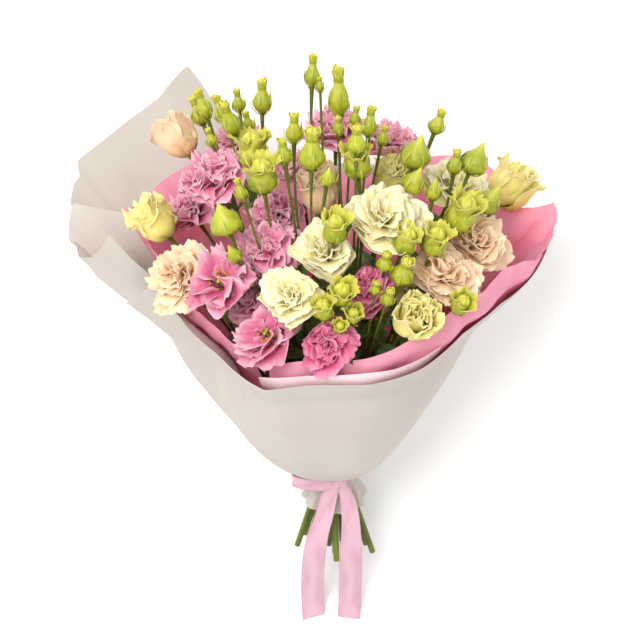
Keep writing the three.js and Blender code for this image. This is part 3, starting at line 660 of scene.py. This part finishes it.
def make_weave():
    """Satin: fine threads along the ribbon, faint shaded bands and a woven edge."""
    tree, given, made = new_group("satin_weave", ("Light", "Dark"), ("Colour", "Height", "Roughness"))
    across, along = blade_place(tree)
    threads = noise(drawn_out(across, 90.0, along, 12.0), 1.0)
    bands = noise(drawn_out(across, 1.5, along, 4.0), 1.0, 1.0)
    rim = ranged(worked("ABSOLUTE", off_middle(across)), 0.44, 0.475)
    share = plus(ranged(bands, 0.35, 0.65, 0, 0.6), times(off_middle(threads), 0.5))
    share = plus(share, times(rim, 0.35), clamp=True)
    feed(made["Colour"], mixed(share, given["Light"], given["Dark"]))
    feed(made["Height"], plus(threads, rim))
    feed(made["Roughness"], ranged(threads, 0.3, 0.7, 0.28, 0.45))
    return tree


blade_colour = make_blade_colour()
skin_colour = make_skin_colour()
paper_fibre = make_fibre()
satin_weave = make_weave()


def finish_material(name, group, values, bump, see_through=0.0, **fixed):
    """A material of one effect group and its values in order, with the bump's strength and distance, the
    share of light let through and the shader's fixed values."""
    material = bpy.data.materials.new(name)
    material.use_nodes = True
    tree = material.node_tree
    tree.nodes.clear()
    effect = put(tree, "ShaderNodeGroup", {"node_tree": group})
    for socket, value in zip(effect.inputs, values):
        socket.default_value = shade(*value) if isinstance(value, tuple) else value
    colour = effect.outputs["Colour"]
    relief = put(tree, "ShaderNodeBump", Height=effect.outputs["Height"], Strength=bump[0],
                 Distance=bump[1]).outputs[0]
    shader = put(tree, "ShaderNodeBsdfPrincipled", Base_Color=colour, Normal=relief, **fixed)
    if "Roughness" in effect.outputs:
        feed(shader.inputs["Roughness"], effect.outputs["Roughness"])
    last = shader.outputs[0]
    if see_through:
        glow = put(tree, "ShaderNodeBsdfTranslucent", Color=colour, Normal=relief)
        both = put(tree, "ShaderNodeMixShader")
        for socket, value in zip(both.inputs, (see_through, last, glow.outputs[0])):
            feed(socket, value)
        last = both.outputs[0]
    put(tree, "ShaderNodeOutputMaterial", Surface=last)
    return material


# Petal colours at the root, middle and edge, a deeper one for veins, and how strong the veins are.
PETAL_COLOURS = {
    "pink": ((204, 50, 104), (247, 152, 188), (255, 219, 231), (230, 88, 142), 0.3),
    "magenta": ((160, 26, 78), (228, 86, 140), (252, 170, 200), (190, 40, 98), 0.25),
    "cream": ((240, 228, 112), (255, 248, 196), (255, 253, 228), (250, 230, 144), 0.22),
    "peach": ((255, 214, 140), (255, 226, 184), (255, 238, 212), (255, 198, 150), 0.16),
    "yellow": ((250, 236, 96), (255, 246, 150), (255, 250, 192), (255, 230, 116), 0.14),
    "eyed": ((88, 16, 36), (232, 124, 166), (253, 208, 222), (204, 66, 118), 0.34),
    "bud": ((160, 170, 34), (200, 200, 58), (240, 232, 116), (158, 162, 34), 0.16),
}
PETALS = {name: finish_material(
    name + "_petals", blade_colour, colours, (0.35, 0.0006), 0.28, Roughness=0.5, Sheen_Weight=0.25,
    Sheen_Roughness=0.4, Specular_IOR_Level=0.35) for name, colours in PETAL_COLOURS.items()}
BUD_SKIN = finish_material(
    "bud_skin", skin_colour, [(186, 190, 50), (136, 146, 28), (232, 226, 100), 150.0], (0.3, 0.0006),
    0.12, Roughness=0.42, Specular_IOR_Level=0.5)
STALK_SKIN = finish_material(
    "stalk_skin", skin_colour, [(102, 114, 32), (64, 78, 19), (102, 120, 36), 60.0], (0.25, 0.0005),
    Roughness=0.5, Specular_IOR_Level=0.4)
LEAF_SKIN = finish_material(
    "leaf_skin", skin_colour, [(100, 130, 58), (56, 86, 36), (110, 140, 62), 90.0], (0.3, 0.0008),
    0.15, Roughness=0.48, Specular_IOR_Level=0.4)
ANTHER_SKIN = finish_material(
    "anther_skin", skin_colour, [(206, 160, 50), (120, 78, 22), (206, 160, 50), 500.0], (0.6, 0.0005),
    Roughness=0.8, Specular_IOR_Level=0.2)
WHITE_PAPER = finish_material(
    "white_paper", paper_fibre, [(210, 202, 193), (198, 188, 178), 9.0], (0.25, 0.001), 0.16,
    Specular_IOR_Level=0.35)
PALE_TISSUE = finish_material(
    "pale_tissue", paper_fibre, [(253, 232, 236), (246, 214, 222), 20.0], (0.3, 0.0008), 0.25,
    Specular_IOR_Level=0.25)
# The last colour and share paint the tissue's lip paler: a painted highlight for light coming through the
# tissue at its rim.
PINK_TISSUE = finish_material(
    "pink_tissue", paper_fibre, [(255, 180, 202), (252, 124, 164), 26.0, (255, 192, 213), 0.75],
    (0.35, 0.001), 0.42, Specular_IOR_Level=0.25)
SATIN = finish_material(
    "satin_ribbon", satin_weave, [(220, 178, 192), (200, 144, 165)], (0.25, 0.0003), 0.08,
    Sheen_Weight=0.3, Sheen_Roughness=0.35, Specular_IOR_Level=0.5, Anisotropic=0.4)

# Camera, light and floor
scene = bpy.context.scene
scene.view_settings.view_transform = "Standard"
lens = bpy.data.cameras.new("camera")
lens.sensor_width = 36
lens.lens = 18 / (CAMERA_SPAN / 2 / CAMERA_SPAN_DISTANCE)
camera = bpy.data.objects.new("camera", lens)
camera.location = [part * MM for part in CAMERA_AT]
scene.collection.objects.link(camera)
scene.camera = camera

for name, at, aim, size, power, tint in LAMPS:
    light = bpy.data.lights.new(name, "AREA")
    light.size = size
    light.energy = power
    light.color = tint
    lamp = bpy.data.objects.new(name, light)
    lamp.location = at
    lamp.rotation_euler = (Vector(aim) - Vector(at)).to_track_quat("-Z", "Y").to_euler()
    scene.collection.objects.link(lamp)

world = bpy.data.worlds.new("studio")
world.use_nodes = True
feed(world.node_tree.nodes["Background"].inputs[0], (1, 1, 1, 1))
feed(world.node_tree.nodes["Background"].inputs[1], 0.93)
scene.world = world

choose()
bpy.ops.mesh.primitive_plane_add(size=8, location=(0, 0, -0.0004))
floor = bpy.context.object
floor.name = "floor"
floor.data.materials.append(finish_material(
    "pale_floor", paper_fibre, [(252, 252, 252), (248, 248, 248), 3.0], (0.05, 0.0005),
    Specular_IOR_Level=0.2))

# Blanks: every petal, bud, sepal and leaf is a copy of one of these.
petal_blade = make_blade("petal_blade", BLADE_ACROSS, BLADE_ALONG)
sepal_blade = make_blade("sepal_blade", 2, 6)
leaf_blade = make_blade("leaf_blade", 6, 10)
bud_ball = make_ball("bud_ball", 30, 18)
PETAL, SEPAL, LEAF, BALL = (points_of(blank) for blank in (petal_blade, sepal_blade, leaf_blade, bud_ball))
SHARES = steps(BLADE_ALONG + 1)


# Blooms
def read_blooms():
    """Each bloom's place, size and axis, and the planes between it and its near neighbours."""
    made = []
    for index, (name, form, at, size, colour, *turned) in enumerate(BLOOMS):
        centre = np.array(at, float)
        axis = unit(unit(centre - BUNCH_HEART) + FRONT * (turned or [USUAL_TURN])[0])
        made.append(dict(name=name, form=form, centre=centre, size=size, colour=colour, axis=axis,
                         base=centre - axis * size * BASE_SHARES[form], index=index, planes=[]))
    for one in made:
        for two in made:
            between = two["centre"] - one["centre"]
            distance = np.linalg.norm(between)
            both = one["size"] + two["size"]
            if one is not two and distance < both * NEIGHBOUR_SHARE:
                one["planes"].append((between / distance, distance * (one["size"] / both)))
    return made


def ease_back(bloom, points):
    """Keeps a bloom's points on its own side of the planes between it and its neighbours."""
    room = BLOOM_SOFT - BLOOM_GAP
    for _ in range(EASE_ROUNDS):
        for normal, offset in bloom["planes"]:
            clear = offset - (points - bloom["centre"]) @ normal
            eased = BLOOM_GAP + room * np.exp(np.minimum(clear - BLOOM_SOFT, 0) / room)
            points = points + np.where(clear < BLOOM_SOFT, clear - eased, 0)[:, None] * normal
    return points


def petal_points(bloom, turn, root, length, width, opens, ruffle, seed):
    """One petal's points: a blade that opens from the bloom's axis, cupped, waved and frilled."""
    axis, size = bloom["axis"], bloom["size"]
    u, v = PETAL[:, 0], PETAL[:, 1]
    # The petal's middle line: how far out and how high each row lies, from how far the petal opens there.
    opening = np.radians(np.interp(SHARES, steps(len(opens)), opens))
    between = (opening[1:] + opening[:-1]) / 2
    radii = HEART_RADIUS + np.append(0, np.cumsum(np.sin(between))) * length / BLADE_ALONG
    heights = root + np.append(0, np.cumsum(np.cos(between))) * length / BLADE_ALONG
    # The margin is rounded and nicked, and the blade widens from its root and narrows to its tip.
    margin = np.arctan2(u, (v - 0.35) * 1.3)
    nick = (0.04 * np.sin(margin * 12 + seed) + 0.03 * np.sin(margin * 27)) * v ** 8 * ruffle / 0.05
    reach = v * (1 - 0.2 * np.abs(u) ** 2.6) + nick
    radius, height, tilt = (np.interp(reach, SHARES, line) for line in (radii, heights, opening))
    half = width / 2 * (0.22 + 0.78 * smooth(reach / 0.62)) * (1 - 0.22 * smooth((reach - 0.7) / 0.3))
    angle = turn + u * half / np.maximum(radius, half * 0.8) + 0.08 * np.sin(reach * 4 + seed)
    out = out_at(angle, *frame_of(axis, bloom["index"] * 0.7))
    normal = axis * np.sin(tilt)[:, None] - out * np.cos(tilt)[:, None]
    # Off the blade's own face: a twist, a cup at the root, and waves and a crimp that grow to the margin.
    pace = 3.4 + 2.2 * chance(seed, 4)
    wave = np.sin(margin * pace + ABOUT_TURN * chance(seed, 5)) + 0.5 * np.sin(margin * pace * 1.9 + seed)
    frill = np.maximum(np.abs(u) ** 3, v ** 5) * smooth(v / 0.5)
    lift = u * (0.015 + 0.03 * reach) * size + 0.05 * size * u * u * (1 - reach)
    lift += ruffle * size * wave * frill
    lift += 0.6 * ruffle * size * np.sin(3.1 * u + 2.3 * v + ABOUT_TURN * chance(seed, 6)) * smooth(v * 1.5)
    crimp = np.sin(margin * (11 + 3 * chance(seed, 7)) + seed)
    lift += 0.55 * ruffle * size * (crimp * np.maximum(np.abs(u) ** 7 * smooth(v * 1.6), v ** 9))
    return ease_back(bloom, bloom["base"] + axis * height[:, None] + out * radius[:, None]
                     + normal * lift[:, None])


def bloom_petals(bloom):
    """All petals of a bloom, ring by ring."""
    form, size, colour = bloom["form"], bloom["size"], bloom["colour"]
    material = PETALS["eyed" if form == "open" else colour]
    pieces = []
    for number, (count, root, length, width, opens) in enumerate(PETAL_RINGS[form]):
        ruffle = RUFFLES[colour] * (1.2 if form == "half" else 1 if number else 0.8)
        for k in range(count):
            seed = bloom["index"] * 31 + number * 7 + k
            turn = (k + number * 0.5 + 0.8 * (chance(seed, 1) - 0.5)) / count * TURN
            stretch = 0.88 + 0.22 * chance(seed, 2)
            shift = 30 * (chance(seed, 3) - 0.5)
            points = petal_points(bloom, turn, root * size, length * size * stretch, width * size,
                                  np.add(opens, shift * steps(len(opens))), ruffle, seed)
            pieces.append(copy_of(petal_blade, points, material, 0.6 * chance(seed, 9) ** 2))
    return pieces


def stamen_pieces(bloom):
    """Golden stamens round a green pistil, in the open blooms."""
    base, axis, size = bloom["base"], bloom["axis"], bloom["size"]
    one, two = frame_of(axis, 0.4)
    rods, pieces = [], []
    for turn, seed in around(7, STAMEN_SEED + bloom["index"] * 9):
        turn += 0.5 * chance(seed, 1)
        out = math.cos(turn) * one + math.sin(turn) * two
        tip = base + axis * size * (0.24 + 0.05 * chance(seed, 2)) + out * size * 0.12
        bend = base + axis * size * 0.14 + out * size * 0.05
        rods.append((np.array([base + out * 1.5 + axis * 2, bend, tip]), [0.5, 0.4, 0.35]))
        side = unit(np.cross(axis, out) + 0.5 * axis)
        anther = tip + BALL @ [out * 1.3, np.cross(side, out) * 1.3, side * 3.0]
        pieces.append(copy_of(bud_ball, anther, ANTHER_SKIN, chance(seed, 4)))
    style = base + axis * size * 0.3
    rods.append((np.array([base + axis * 2, base + axis * 6, style]), [2.4, 1.6, 0.9]))
    for sign in (-1, 1):
        lobe = style + sign * 1.7 * one + BALL @ [axis * 1.2, two * 1.6, one * 2.2]
        pieces.append(copy_of(bud_ball, lobe, BUD_SKIN, 0.2))
    return pieces + [make_rods("filaments_" + bloom["name"], rods, 1, BUD_SKIN)]


blooms = read_blooms()
for bloom in blooms:
    petals = join("petals_" + bloom["name"], bloom_petals(bloom))
    thicken(petals, PETAL_THICKNESS)
    if bloom["form"] == "open":
        petals = join(petals.name, [petals] + stamen_pieces(bloom))
    slot = {"magenta": "pink"}.get(bloom["colour"], bloom["colour"]) + "_petals"
    finish_piece(petals, slot, "bloom_" + bloom["name"])


# Sprays: stems, branches, buds, sepals and leaves
def stem_places():
    """Where each stem goes through the tie: all drawn in, and each pushed off its neighbours."""
    places = np.array(SPRAYS) * PACK_START
    for turn in range(PACK_ROUNDS):
        for i in range(len(places)):
            if turn < PACK_PULLS:
                places[i] *= PACK_PULL
            for j in range(len(places)):
                gap = places[i] - places[j]
                apart = np.hypot(*gap)
                if i != j and apart < STEM_PITCH:
                    push = gap * (STEM_PITCH - apart) / apart / 2
                    places[i] += push
                    places[j] -= push
    return places


def nearest_spray(centre):
    return int(np.argmin(np.hypot(*(centre[:2] / centre[2] - np.array(SPRAYS)).T)))


def read_heads():
    """The blooms and buds of each spray, the one furthest from the tie first."""
    heads = [[] for _ in SPRAYS]
    for bloom in blooms:
        base = bloom["base"] - bloom["axis"] * BLOOM_GAP
        heads[nearest_spray(bloom["centre"])].append(dict(
            bloom=bloom, base=base, axis=bloom["axis"], reach=np.linalg.norm(base)))
    for index, (x, y, z, length, width) in enumerate(BUDS):
        centre = np.array([x, y, z], float)
        home = nearest_spray(centre)
        axis = unit(centre - np.array([*SPRAYS[home], 1]) * BUD_FORK)
        axis = unit(axis + 0.3 * np.array([chance(index, 5) - 0.5, chance(index, 6) - 0.5, 0.5]))
        base = centre - axis * length * 0.5
        heads[home].append(dict(bloom=None, base=base, axis=axis, reach=np.linalg.norm(base),
                                length=length, width=width, index=index))
    return [sorted(group, key=lambda head: -head["reach"]) for group in heads]


def bud_body(head, form):
    """A bud's body: five petals wound round each other, with a frilled or pointed tip."""
    seed = head["index"] + BUD_SEED
    ends = np.abs(BALL[:, 2])
    turn = np.arctan2(BALL[:, 1], BALL[:, 0])
    share = (BALL[:, 2] + 1) / 2
    share = share + 0.06 * np.sin(share * TURN)
    fullness = np.interp(share, steps(11), BUD_FORMS[form])
    closing = np.sqrt(np.clip(1 - ends ** 14, 0, 1))
    place = turn / TURN * 5 + share * (1.1 + chance(seed, 2))
    wound = place - np.floor(place)
    ridge = 0.13 * (smooth(wound) - 0.5) * smooth(share * 4) * (1.4 - 0.4 * share)
    crown = smooth((share - 0.78) / 0.22) * (0 if form == "pointed" else 1)
    radius = head["width"] / 2 * fullness * closing * (1 + ridge)
    radius = radius * (1 + 0.16 * crown * np.sin(turn * 7 + seed))
    height = head["length"] * (share + 0.045 * crown * np.sin(turn * 5 + seed) * (ends < 0.999))
    out = out_at(turn, *frame_of(head["axis"], head["index"] * 1.3))
    return head["base"] + head["axis"] * height[:, None] + out * radius[:, None]


def make_sepal(base, axis, index, turn, length, width, radii, spread, material, tone):
    """A narrow blade that starts at the base and follows a body's radius, leaning off at its tip."""
    u, v = SEPAL[:, 0], SEPAL[:, 1]
    radius = np.interp(v, steps(len(radii)), radii) + spread * v ** 2.5
    half = width / 2 * np.sin(math.pi * np.clip(v * 0.86 + 0.14, 0, 1)) ** 0.8
    out = out_at(turn + u * half / np.maximum(radius, half), *frame_of(axis, index * 1.3))
    points = base + axis * (v * length)[:, None] + out * radius[:, None]
    return copy_of(sepal_blade, points, material, tone)


def bud_pieces(head):
    """A bud with its sepals, and with loose petals if it is opening or a frill if it is closed."""
    base, axis, length, width, index = (head[key] for key in ("base", "axis", "length", "width", "index"))
    form = "pointed" if index in POINTED_BUDS else "opening" if width / length > OPENING else "urn"
    shape = np.array(BUD_FORMS[form]) * width / 2
    pieces = [copy_of(bud_ball, bud_body(head, form), BUD_SKIN, 0.9 * chance(index, 31))]
    if form == "opening":
        cup = dict(base=base, axis=axis, size=length, index=index, planes=[])
        for turn, seed in around(5, CUP_SEED + index * 9):
            points = petal_points(
                cup, turn + 0.3 * chance(seed, 1), 0.06 * length, length * (1 + 0.14 * chance(seed, 2)),
                width * 0.95, [46, 4, 30 + 30 * chance(seed, 3)], 0.05, seed)
            pieces.append(copy_of(petal_blade, points, PETALS["bud"], 0.5 * chance(seed, 9)))
    if form == "urn":
        for turn, seed in around(5, FRILL_SEED + index * 5):
            pieces.append(make_sepal(
                base + axis * length * 0.72, axis, index, turn + index,
                length * (0.25 + 0.09 * chance(seed, 1)), width * 0.5, shape[7:] + 0.3,
                width * 0.16 * chance(seed, 2), PETALS["bud"], 0.3 * chance(seed, 3)))
    for turn, seed in around(5, SEPAL_SEED + index * 5):
        pieces.append(make_sepal(
            base - axis * 0.5, axis, index, turn + 0.4, length * (0.5 + 0.22 * chance(seed, 1)), 1.9,
            shape[:8] + 0.5, 1.5 + 5 * chance(seed, 2), BUD_SKIN, 0.5 + 0.5 * chance(seed, 3)))
    return pieces


def calyx_pieces(bloom):
    """The green sepals under a bloom."""
    half = bloom["form"] == "half"
    radii, share = ([2.0, 8, 12, 13.5, 14], 0.55) if half else ([2.0, 3.5, 5.5, 7.5, 9.5], 0.3)
    return [make_sepal(bloom["base"] - bloom["axis"] * 1.5, bloom["axis"], bloom["index"], turn,
                       bloom["size"] * share, 2.6, radii, 4, BUD_SKIN, 0.6 + 0.4 * chance(seed, 3))
            for turn, seed in around(5, CALYX_SEED + bloom["index"] * 5)]


def leaf_points(start, along, up, length, seed):
    """A pointed leaf, folded a little at its rib and curling down to its tip."""
    u, v = LEAF[:, 0], LEAF[:, 1]
    side = unit(np.cross(along, up))
    lift = np.cross(side, along)
    half = LEAF_WIDTH / 2 * np.sin(math.pi * np.clip(v * 0.93 + 0.07, 0, 1)) ** 0.75 * (1.15 - 0.3 * v)
    bent = LEAF_CURL * v
    reach = length * v
    fold = np.abs(u) * half * 0.35 + 0.6 * np.sin(7 * v + 3 * u + seed) * np.abs(u)
    points = start + along * (reach * np.cos(bent))[:, None] - lift * (reach * np.sin(bent) * 0.7)[:, None]
    return points + side * (u * half)[:, None] + lift * fold[:, None]


def leaf_pieces(index, fork, low, lead_path):
    """A spray's leaves, in pairs up its stem. One whose tip would reach the paper turns inward."""
    pieces = []
    starts = [lerp(fork, low, share) for share in (0.05, 0.05, 0.35, 0.35, 0.6)]
    for number, start in enumerate(starts + [lead_path[k] for k in (2, 2, 4, 4)]):
        seed = LEAF_SEED + index * 11 + number
        spin = ABOUT_TURN * chance(index, 3) + number * math.pi + (0.8 if number > 1 else 0)
        outward = np.array([math.cos(spin), math.sin(spin), 0])
        rise = unit(fork) * LEAF_RISE
        along = unit(rise + outward)
        tip = start + along * LEAF_LENGTH
        if np.hypot(tip[0], tip[1]) > LEAF_ROOM * tip[2]:
            along = unit(rise - outward)
        points = leaf_points(start, along, unit(fork - along * fork.dot(along)),
                             LEAF_LENGTH + 16 * (chance(seed, 1) - 0.5), seed)
        pieces.append(copy_of(leaf_blade, points, LEAF_SKIN, 0.7 * chance(seed, 2)))
    return pieces


def head_rod(head, start):
    """The path of a branch or stalk from its start to its head, with its radii."""
    base, axis, bloom = head["base"], head["axis"], head["bloom"]
    control = base - axis * np.linalg.norm(base - start) * 0.42
    path = bow(start, control, base, steps(9))
    body = 1.5 if bloom else 1.1
    end = 2.3 if bloom else min(2.2, head["width"] * 0.16)
    radii = np.interp(steps(9), [0, 0.3, 0.85, 1], [body + 0.35, body, body, end])
    if bloom:
        return np.vstack([path, base + axis * 1.6, base + axis * 4.0]), np.append(radii, [3.2, 2.4])
    return np.vstack([path, base + axis * 1.2]), np.append(radii, head["width"] * 0.24)


for index, (slope, group, (x, y)) in enumerate(zip(SPRAYS, read_heads(), stem_places())):
    fork = np.array([*slope, 1]) * (group[-1]["reach"] * FORK_SHARE)
    tied = np.array([x, y, -4])
    above = np.array([x, y, NECK_INNER_TOP])
    low = lerp(fork, above, 0.7)
    aside = -STEM_FAN * max(y, STEM_FAN_LOWEST) + (RIGHT_STEM_ASIDE if x > RIGHT_STEM_FROM else 0)
    end = np.array([x * STEM_SPREAD + aside, y * STEM_SPREAD, STEM_END - y * STEM_STAGGER])
    trunk = curve_through([end, lerp(end, tied, 0.5), tied, above, low, fork], 4)[:-1]
    trunk_radii = np.interp(steps(len(trunk)), [0, 0.6, 1], [STEM_RADIUS, STEM_RADIUS, FORK_RADIUS])
    lead_path, lead_radii = head_rod(group[0], fork)
    lead_radii[0] = FORK_RADIUS
    rods = [(lift_clear(np.vstack([trunk, lead_path]), STEM_RADIUS), np.append(trunk_radii, lead_radii))]
    for number, head in enumerate(group[1:]):
        rods.append(head_rod(head, lerp(fork, low, 0.8 * number / len(group))))
    stems = make_rods(f"rods_{index + 1}", rods, 2, STALK_SKIN)
    pieces = []
    for head in group:
        pieces += calyx_pieces(head["bloom"]) if head["bloom"] else bud_pieces(head)
    pieces += leaf_pieces(index, fork, low, lead_path)
    balls = [piece for piece in pieces if len(piece.data.vertices) == len(BALL)]
    green = join(f"green_{index + 1}", [piece for piece in pieces if piece not in balls])
    thicken(green, LEAF_THICKNESS)
    spray = join(f"stems_{index + 1}", [stems, green] + balls)
    finish_piece(spray, "greenery", f"spray_{index + 1}")


# Papers
SHEET_KINDS = {
    "wrap": (WHITE_PAPER, "white_paper", PAPER_WALL),
    "liner": (PALE_TISSUE, "pale_tissue", PAPER_WALL),
    "tissue": (PINK_TISSUE, "pink_tissue", TISSUE_WALL),
}


def rim_point(turn, reach, lean):
    """An upright point at a turn from the front, a reach from the tie and a lean off the axis."""
    lean = math.radians(lean)
    return round_tie(math.radians(turn), math.sin(lean) * reach, math.cos(lean) * reach)


def ray_at(lean):
    return np.array([math.sin(math.radians(lean)), math.cos(math.radians(lean))])


def fold_over(grid, start, end, slope):
    """Bends the part of a sheet that lies past a line from start to end."""
    normal = grid_normals(grid)
    start, end = rim_point(*start), rim_point(*end)
    length = np.linalg.norm(end - start)
    line = unit(end - start)
    away = np.linalg.norm(grid - (start + end) / 2, axis=-1)
    across = unit(np.cross(line, normal.reshape(-1, 3)[np.argmin(away)]))
    past = np.maximum((grid - start) @ across, 0)
    along = (grid - start) @ line / length
    share = smooth((along + 0.35) / 0.3) * smooth((1.35 - along) / 0.3)
    share = share * smooth((1.15 - away / length) / 0.4)
    return grid + normal * (slope * past * past / (past + FOLD_SOFT) * share)[..., None]


def wrap_points(layer, skirt, columns, hem):
    """A sheet's rows of points, from under the ribbon out over the bowl to its rim."""
    neck = NECK_RADIUS + layer * LAYER_PITCH
    start = np.array([neck, lerp(NECK_INNER_TOP, NECK_TOP, layer / 3)])
    below = [(neck, NECK_LOW), (neck, -1.0)]
    if skirt:
        low_edge = [(neck + out, up) for out, up in SKIRT]
        below = [*curve_through(low_edge + below[:1], 4)[:-1], *below]
    grid = []
    for turn, reach, lean, wall_lean in columns:
        angle = math.radians(turn)
        rim_ray, ray = ray_at(lean), ray_at(wall_lean)
        front, side = max(0, math.cos(angle)) ** 2, max(0, math.sin(angle)) ** 2
        control = BOWL + layer * BOWL_PER_LAYER + front * BOWL_AT_FRONT + side * BOWL_AT_RIGHT
        out, up = np.vstack([
            below,
            bow(start, control, ray * WALL_REACH, steps(WALL_ROWS)),
            np.outer(lerp(WALL_REACH, reach - hem, steps(RIM_ROWS)[1:]), ray),
            bow(ray * (reach - hem), ray * (reach - hem * HEM_BEND), rim_ray * reach, steps(HEM_ROWS)[1:]),
        ]).T
        grid.append(round_tie(angle, out, up))
    return np.array(grid).transpose(1, 0, 2)


def grid_normals(grid):
    normal = np.cross(np.gradient(grid, axis=0), np.gradient(grid, axis=1))
    return normal / np.maximum(np.linalg.norm(normal, axis=-1, keepdims=True), 1e-9)


def make_sheet(name, grid, material, thickness):
    """A sheet of grid points as a thin closed piece."""
    rows, columns = grid.shape[:2]
    sheet = make_blade(name, columns - 1, rows - 1)
    flat = points_of(sheet)
    column = np.rint((flat[:, 0] + 1) / 2 * (columns - 1)).astype(int)
    row = np.rint(flat[:, 1] * (rows - 1)).astype(int)
    put_points(sheet, grid[row, column])
    sheet.data.materials.append(material)
    thicken(sheet, thickness)
    return sheet


for number, (name, sheet) in enumerate(SHEETS.items()):
    kind = name.split("_")[0]
    is_tissue = kind == "tissue"
    rim = np.array([column if len(column) == 4 else (*column, column[2]) for column in sheet["rim"]], float)
    columns = curve_through(rim, SHEET_COLUMNS, 0.6 if is_tissue else 0.35)
    grid = wrap_points(sheet["layer"], name == "wrap_front", columns, TISSUE_HEM if is_tissue else HEM)
    normal = grid_normals(grid)
    # Soft waves in every sheet, sharp crumples in the tissue and faint ones in the paper.
    free = smooth((np.linalg.norm(grid, axis=-1) - 70) / 150)
    move = 2.4 * ripple(grid, 50, 120)
    if is_tissue:
        move += 2.2 * (crumple(grid, 50 + number, 62) + 0.7) + 1.7 * (crumple(grid, 80 + number, 30) + 0.6)
    else:
        move += 0.4 if kind == "liner" else 0.9 * crumple(grid, 80 + number, 95)
    grid = grid + normal * (move * free)[..., None]
    for fold in FOLDS.get(name, ()):
        grid = fold_over(grid, *fold)
    if name == "wrap_front":
        # The skirt below the ribbon is gathered.
        low = smooth((-9 - grid[..., 2]) / 25)
        spin = np.arctan2(grid[..., 0], -grid[..., 1])
        pucker = 2.4 * np.sin(spin * 9 + 1) + 1.4 * np.sin(spin * 17)
        grid = grid + normal * (pucker * low)[..., None]
    grid = lift_clear(grid, 0.3 if name == "wrap_back" else 1.4)
    material, slot, wall = SHEET_KINDS[kind]
    finish_piece(make_sheet("sheet_" + name, grid, material, wall), slot, name)


# Ribbon
def from_surface(point):
    """A point of the surface's own frame, set back into the upright one."""
    x, y, z = point
    ahead = y - TAILS_TIE_AT[1]
    above = z - TIE_HEIGHT
    return np.array([x - TAILS_TIE_AT[0], ahead * RISE_SIN - above * RISE_COS,
                     ahead * RISE_COS + above * RISE_SIN])


def strip_grid(path, across, widths, crown):
    """Rows of points for a ribbon along a path, with a slight crown across it."""
    shares = np.linspace(-1, 1, STRIP_COLUMNS)
    rows = []
    for k in range(len(path)):
        along = path[min(k + 1, len(path) - 1)] - path[max(k - 1, 0)]
        side = unit(across[k])
        normal = unit(np.cross(along, side))
        rows.append(path[k] + np.outer(shares * widths[k] / 2, side)
                    + np.outer(crown[k] * (1 - shares ** 2), normal))
    return np.array(rows)


def make_ribbon(name, grid):
    piece = make_sheet(name, grid, SATIN, PAPER_WALL)
    finish_piece(piece, "satin_ribbon", "ribbon")
    return piece


for side, (top, twist, slant, path) in TAILS.items():
    points = curve_through([from_surface(point) for point in path], 6)
    share = steps(len(points))
    across = np.array([1.0, 0, 0]) + np.outer(twist * np.sin(share * math.pi), FRONT)
    widths = np.interp(share, [0, 4 / 7, 1], [top, RIBBON_WIDTH, RIBBON_WIDTH])
    crown = 1.6 * np.sin(share * 9 + (2 if side == "left" else 0)) * (1 - share) + 0.4
    grid = strip_grid(points, across, widths, crown)
    cut = smooth((share - 0.8) / 0.2)[:, None] * np.linspace(-1, 1, STRIP_COLUMNS) * slant
    grid = lift_clear(grid + cut[..., None] * unit(points[-1] - points[-2]), 0.5)
    tail = make_ribbon(f"ribbon_tail_{side}", grid)

path = curve_through(LOOP, 6)
widths = np.interp(steps(len(path)), [0, 0.15, 0.85, 1], [8, 13, 13, 8])
grid = strip_grid(path, [(0, 0, 1)] * len(path), widths, [0.8] * len(path))
loop_piece = make_ribbon("ribbon_loop", grid)

turns = np.linspace(0, TURN, BAND_SIDES)
rows = []
for share in steps(7):
    radius = BAND_RADIUS + 0.35 * np.sin(share * 6 + 2 * np.sin(turns * 2)) + 0.3 * share
    rows.append(round_tie(turns, radius, lerp(*BAND_EDGES, share)))
band = make_ribbon("ribbon_band", np.array(rows).transpose(1, 0, 2))

path = curve_through(KNOT, 6)
turns = np.linspace(0, TURN, KNOT_SIDES)
rows = []
for point, share in zip(path, steps(len(path))):
    radius = (3.2 + 1.7 * math.sin(share * math.pi)) * (1 + 0.09 * np.sin(turns * 5 + share * 5))
    wide, deep = np.cos(turns) * radius * 0.8, np.sin(turns) * radius * 1.2
    rows.append(point + np.stack([turns * 0, wide, deep], axis=-1))
knot = make_ribbon("ribbon_knot", np.array(rows))

# The tie under the paper keeps its own shape.
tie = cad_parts["stem_tie"]
tie.data.materials.clear()
tie.data.materials.append(finish_material(
    "binding_tape", paper_fibre, [(214, 218, 200), (196, 202, 182), 60.0], (0.3, 0.0005),
    Specular_IOR_Level=0.3))

for blank in (petal_blade, bud_ball, sepal_blade, leaf_blade):
    bpy.data.objects.remove(blank)
